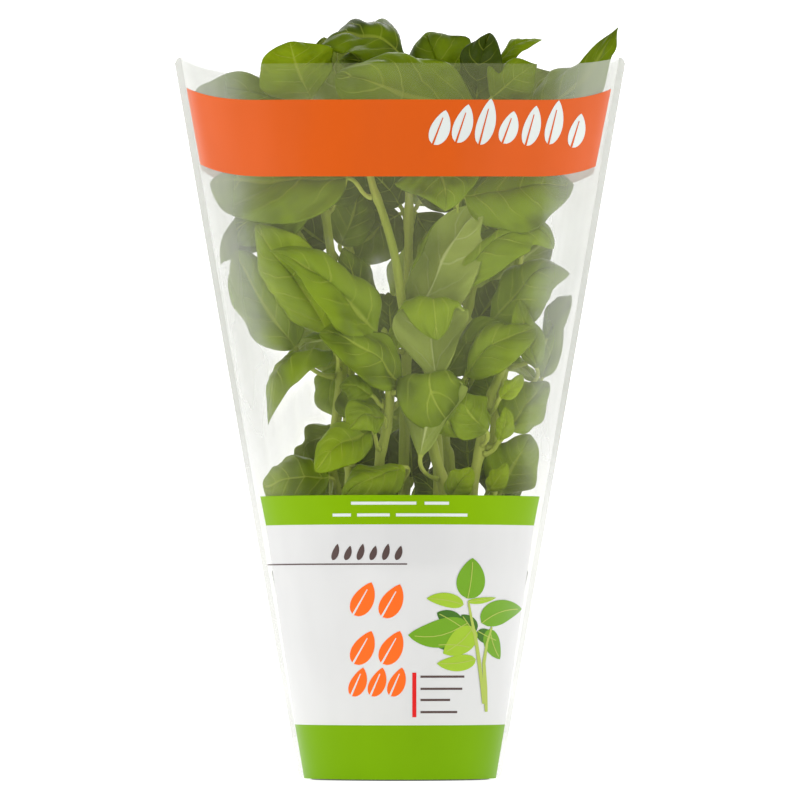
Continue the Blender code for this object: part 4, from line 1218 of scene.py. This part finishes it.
markPiece("print_top_leaves", "pale", [leafStroke(*leaf, 0.8) for leaf in topLeaves])
markPiece("print_top_ribs", "orange", [ribStroke(*leaf[:4]) for leaf in topLeaves], printLift["rib"])
markPiece("print_bars", "pale", [bar(x0, z, x1, z, 0.75) for x0, x1, z in (
    (-24, 8, 137), (12, 24, 137), (-33, -24, 131.2), (-21, -5, 131.2), (-2, 33, 131.2))])
markPiece("print_panel_leaves", "mark", [leafStroke(*leaf, 0.9) for leaf in panelLeaves])
markPiece("print_panel_ribs", "panel", [ribStroke(*leaf[:4]) for leaf in panelLeaves], printLift["rib"])
markPiece("print_brown_marks", "brown",
          [leafStroke(*leaf, 0.3) for leaf in brownLeaves] + [bar(-65.6, 107, 3.5, 107, 0.33, 0.4)]
          + [bar(10, z, x, z, 0.55) for x, z in ((31.5, 51.5), (30.5, 45.5), (24.5, 40), (28, 34))])
markPiece("print_red_bar", "red", [bar(7, 31.5, 7, 53.5, 1.0)])

# sprig of basil: foot, tip, width and bow of each leaf in mm
sprig = {
    "sprigDark": [(30, 76, 18, 83, 9, 0.5), (36, 73, 30, 82, 8, 0.5), (38, 74, 48, 69, 7, 0.5),
                  (34, 66, 17, 67, 8, 1)],
    "sprigMid": [(33, 90, 35.5, 110, 14, 0.6), (33, 78, 4, 72, 14, -2.5), (40, 78, 60, 85, 12, -2.2),
                 (44, 75, 49, 60, 8, 1.2)],
    "sprigPale": [(31, 87, 13, 90, 7, 1.0), (33, 88.5, 47, 90.5, 3, 0.4), (36, 76, 21, 63, 12, -1.5),
                  (37, 60, 18, 58, 8, -1.0)]}
for depth, (ink, leaves) in enumerate(sprig.items()):
    markPiece("print_sprig_leaves_%d" % (depth + 1), ink, [leafStroke(*leaf) for leaf in leaves],
              printLift["sprig"] + printLift["sprigStep"] * depth)


# middle line of a sprig leaf, bowed as the leaf is
def sprigRib(x0, z0, x1, z1, bow):
    line = []
    for t in (0.0, 0.15, 0.3, 0.45, 0.6, 0.75, 0.9):
        side = bow * math.sin(math.pi * t) * 0.045
        line.append((between(x0, x1, t) + (z1 - z0) * side, between(z0, z1, t) - (x1 - x0) * side, 0.22))
    return line


ribs = [sprigRib(*leaf[:4], leaf[5]) for leaves in sprig.values() for leaf in leaves]
markPiece("print_sprig_stems", "sprigStem", ribs + [
    [(33.5, 88, 0.5), (34.5, 82, 0.6), (37, 70, 0.8), (38.5, 60, 0.9), (40, 48, 0.9), (41, 38, 0.8)],
    [(45, 76, 0.4), (42.5, 68, 0.6), (41, 58, 0.8), (41.8, 46, 0.9), (42.2, 34, 0.7)]],
    printLift["sprigStem"])
print("marks printed")


stageShape = {"half": 9.0, "wallFrom": 6.5, "bend": 1.0, "top": 8.0, "below": 0.0002, "steps": 12}


# pale floor that bends up into a wall far behind the plant
def makeStage():
    material = newMaterial("paleFloor", **{"Base Color": (0.9, 0.9, 0.9, 1), "Roughness": 0.8,
                                           "Emission Color": (1, 1, 1, 1), "Emission Strength": 0.72})[0]
    points, faces = [], []
    half, wallFrom, bend = stageShape["half"], stageShape["wallFrom"], stageShape["bend"]
    profile = [(-half, 0.0), (wallFrom, 0.0)]
    for k in range(1, stageShape["steps"] + 1):
        angle = math.pi / 2 * k / stageShape["steps"]
        profile.append((wallFrom + bend * math.sin(angle), bend - bend * math.cos(angle)))
    profile.append((wallFrom + bend, stageShape["top"]))
    for y, z in profile:
        points += [Vector((side * half, y, z - stageShape["below"])) for side in (-1, 1)]
    for k in range(len(profile) - 1):
        faces.append((2 * k, 2 * k + 1, 2 * k + 3, 2 * k + 2))
    mesh = bpy.data.meshes.new("floor")
    mesh.from_pydata(points, [], faces)
    mesh.materials.append(material)
    mesh.shade_smooth()
    floor = bpy.data.objects.new("floor", mesh)
    bpy.context.scene.collection.objects.link(floor)


# place, size and power of each lamp
lights = {
    "key": ((-1.3, -1.8, 1.6), (1.0, 1.0), 8.6), "fill": ((1.5, -1.6, 0.9), (1.0, 1.2), 4.4),
    "leftStrip": ((-1.5, -0.2, 0.4), (1.6, 1.4), 6.8), "rightStrip": ((1.5, -0.1, 0.4), (1.4, 1.4), 5.5),
    "back": ((0.3, 1.4, 1.3), (1.0, 0.8), 5.0)}


def makeLights():
    for name, (place, size, power) in lights.items():
        data = bpy.data.lights.new(name, "AREA")
        data.shape = "RECTANGLE"
        data.size, data.size_y = size
        data.energy = power
        lamp = bpy.data.objects.new(name, data)
        lamp.location = place
        lamp.rotation_mode = "QUATERNION"
        lamp.rotation_quaternion = (Vector((0, 0, 0.2)) - Vector(place)).to_track_quat("-Z", "Y")
        bpy.context.scene.collection.objects.link(lamp)
    world = bpy.data.worlds.new("studio")
    world.use_nodes = True
    world.node_tree.nodes["Background"].inputs[0].default_value = (1.0, 1.0, 1.0, 1.0)
    world.node_tree.nodes["Background"].inputs[1].default_value = 0.38
    bpy.context.scene.world = world


cameraLook = {"lens": 396, "sensor": 36, "distance": 4.4, "elevation": -1.5, "aim": 0.1895}


def makeCamera():
    data = bpy.data.cameras.new("camera")
    data.sensor_width = cameraLook["sensor"]
    data.lens = cameraLook["lens"]
    data.clip_start, data.clip_end = 0.05, 50
    camera = bpy.data.objects.new("camera", data)
    elevation = math.radians(cameraLook["elevation"])
    back = Vector((0, -math.cos(elevation), math.sin(elevation)))
    camera.location = Vector((0, 0, cameraLook["aim"])) + back * cameraLook["distance"]
    camera.rotation_mode = "QUATERNION"
    camera.rotation_quaternion = (-back).to_track_quat("-Z", "Y")
    bpy.context.scene.collection.objects.link(camera)
    bpy.context.scene.camera = camera


makeStage()
makeLights()
makeCamera()
bpy.context.scene.view_settings.view_transform = "Standard"
print("stage ready")
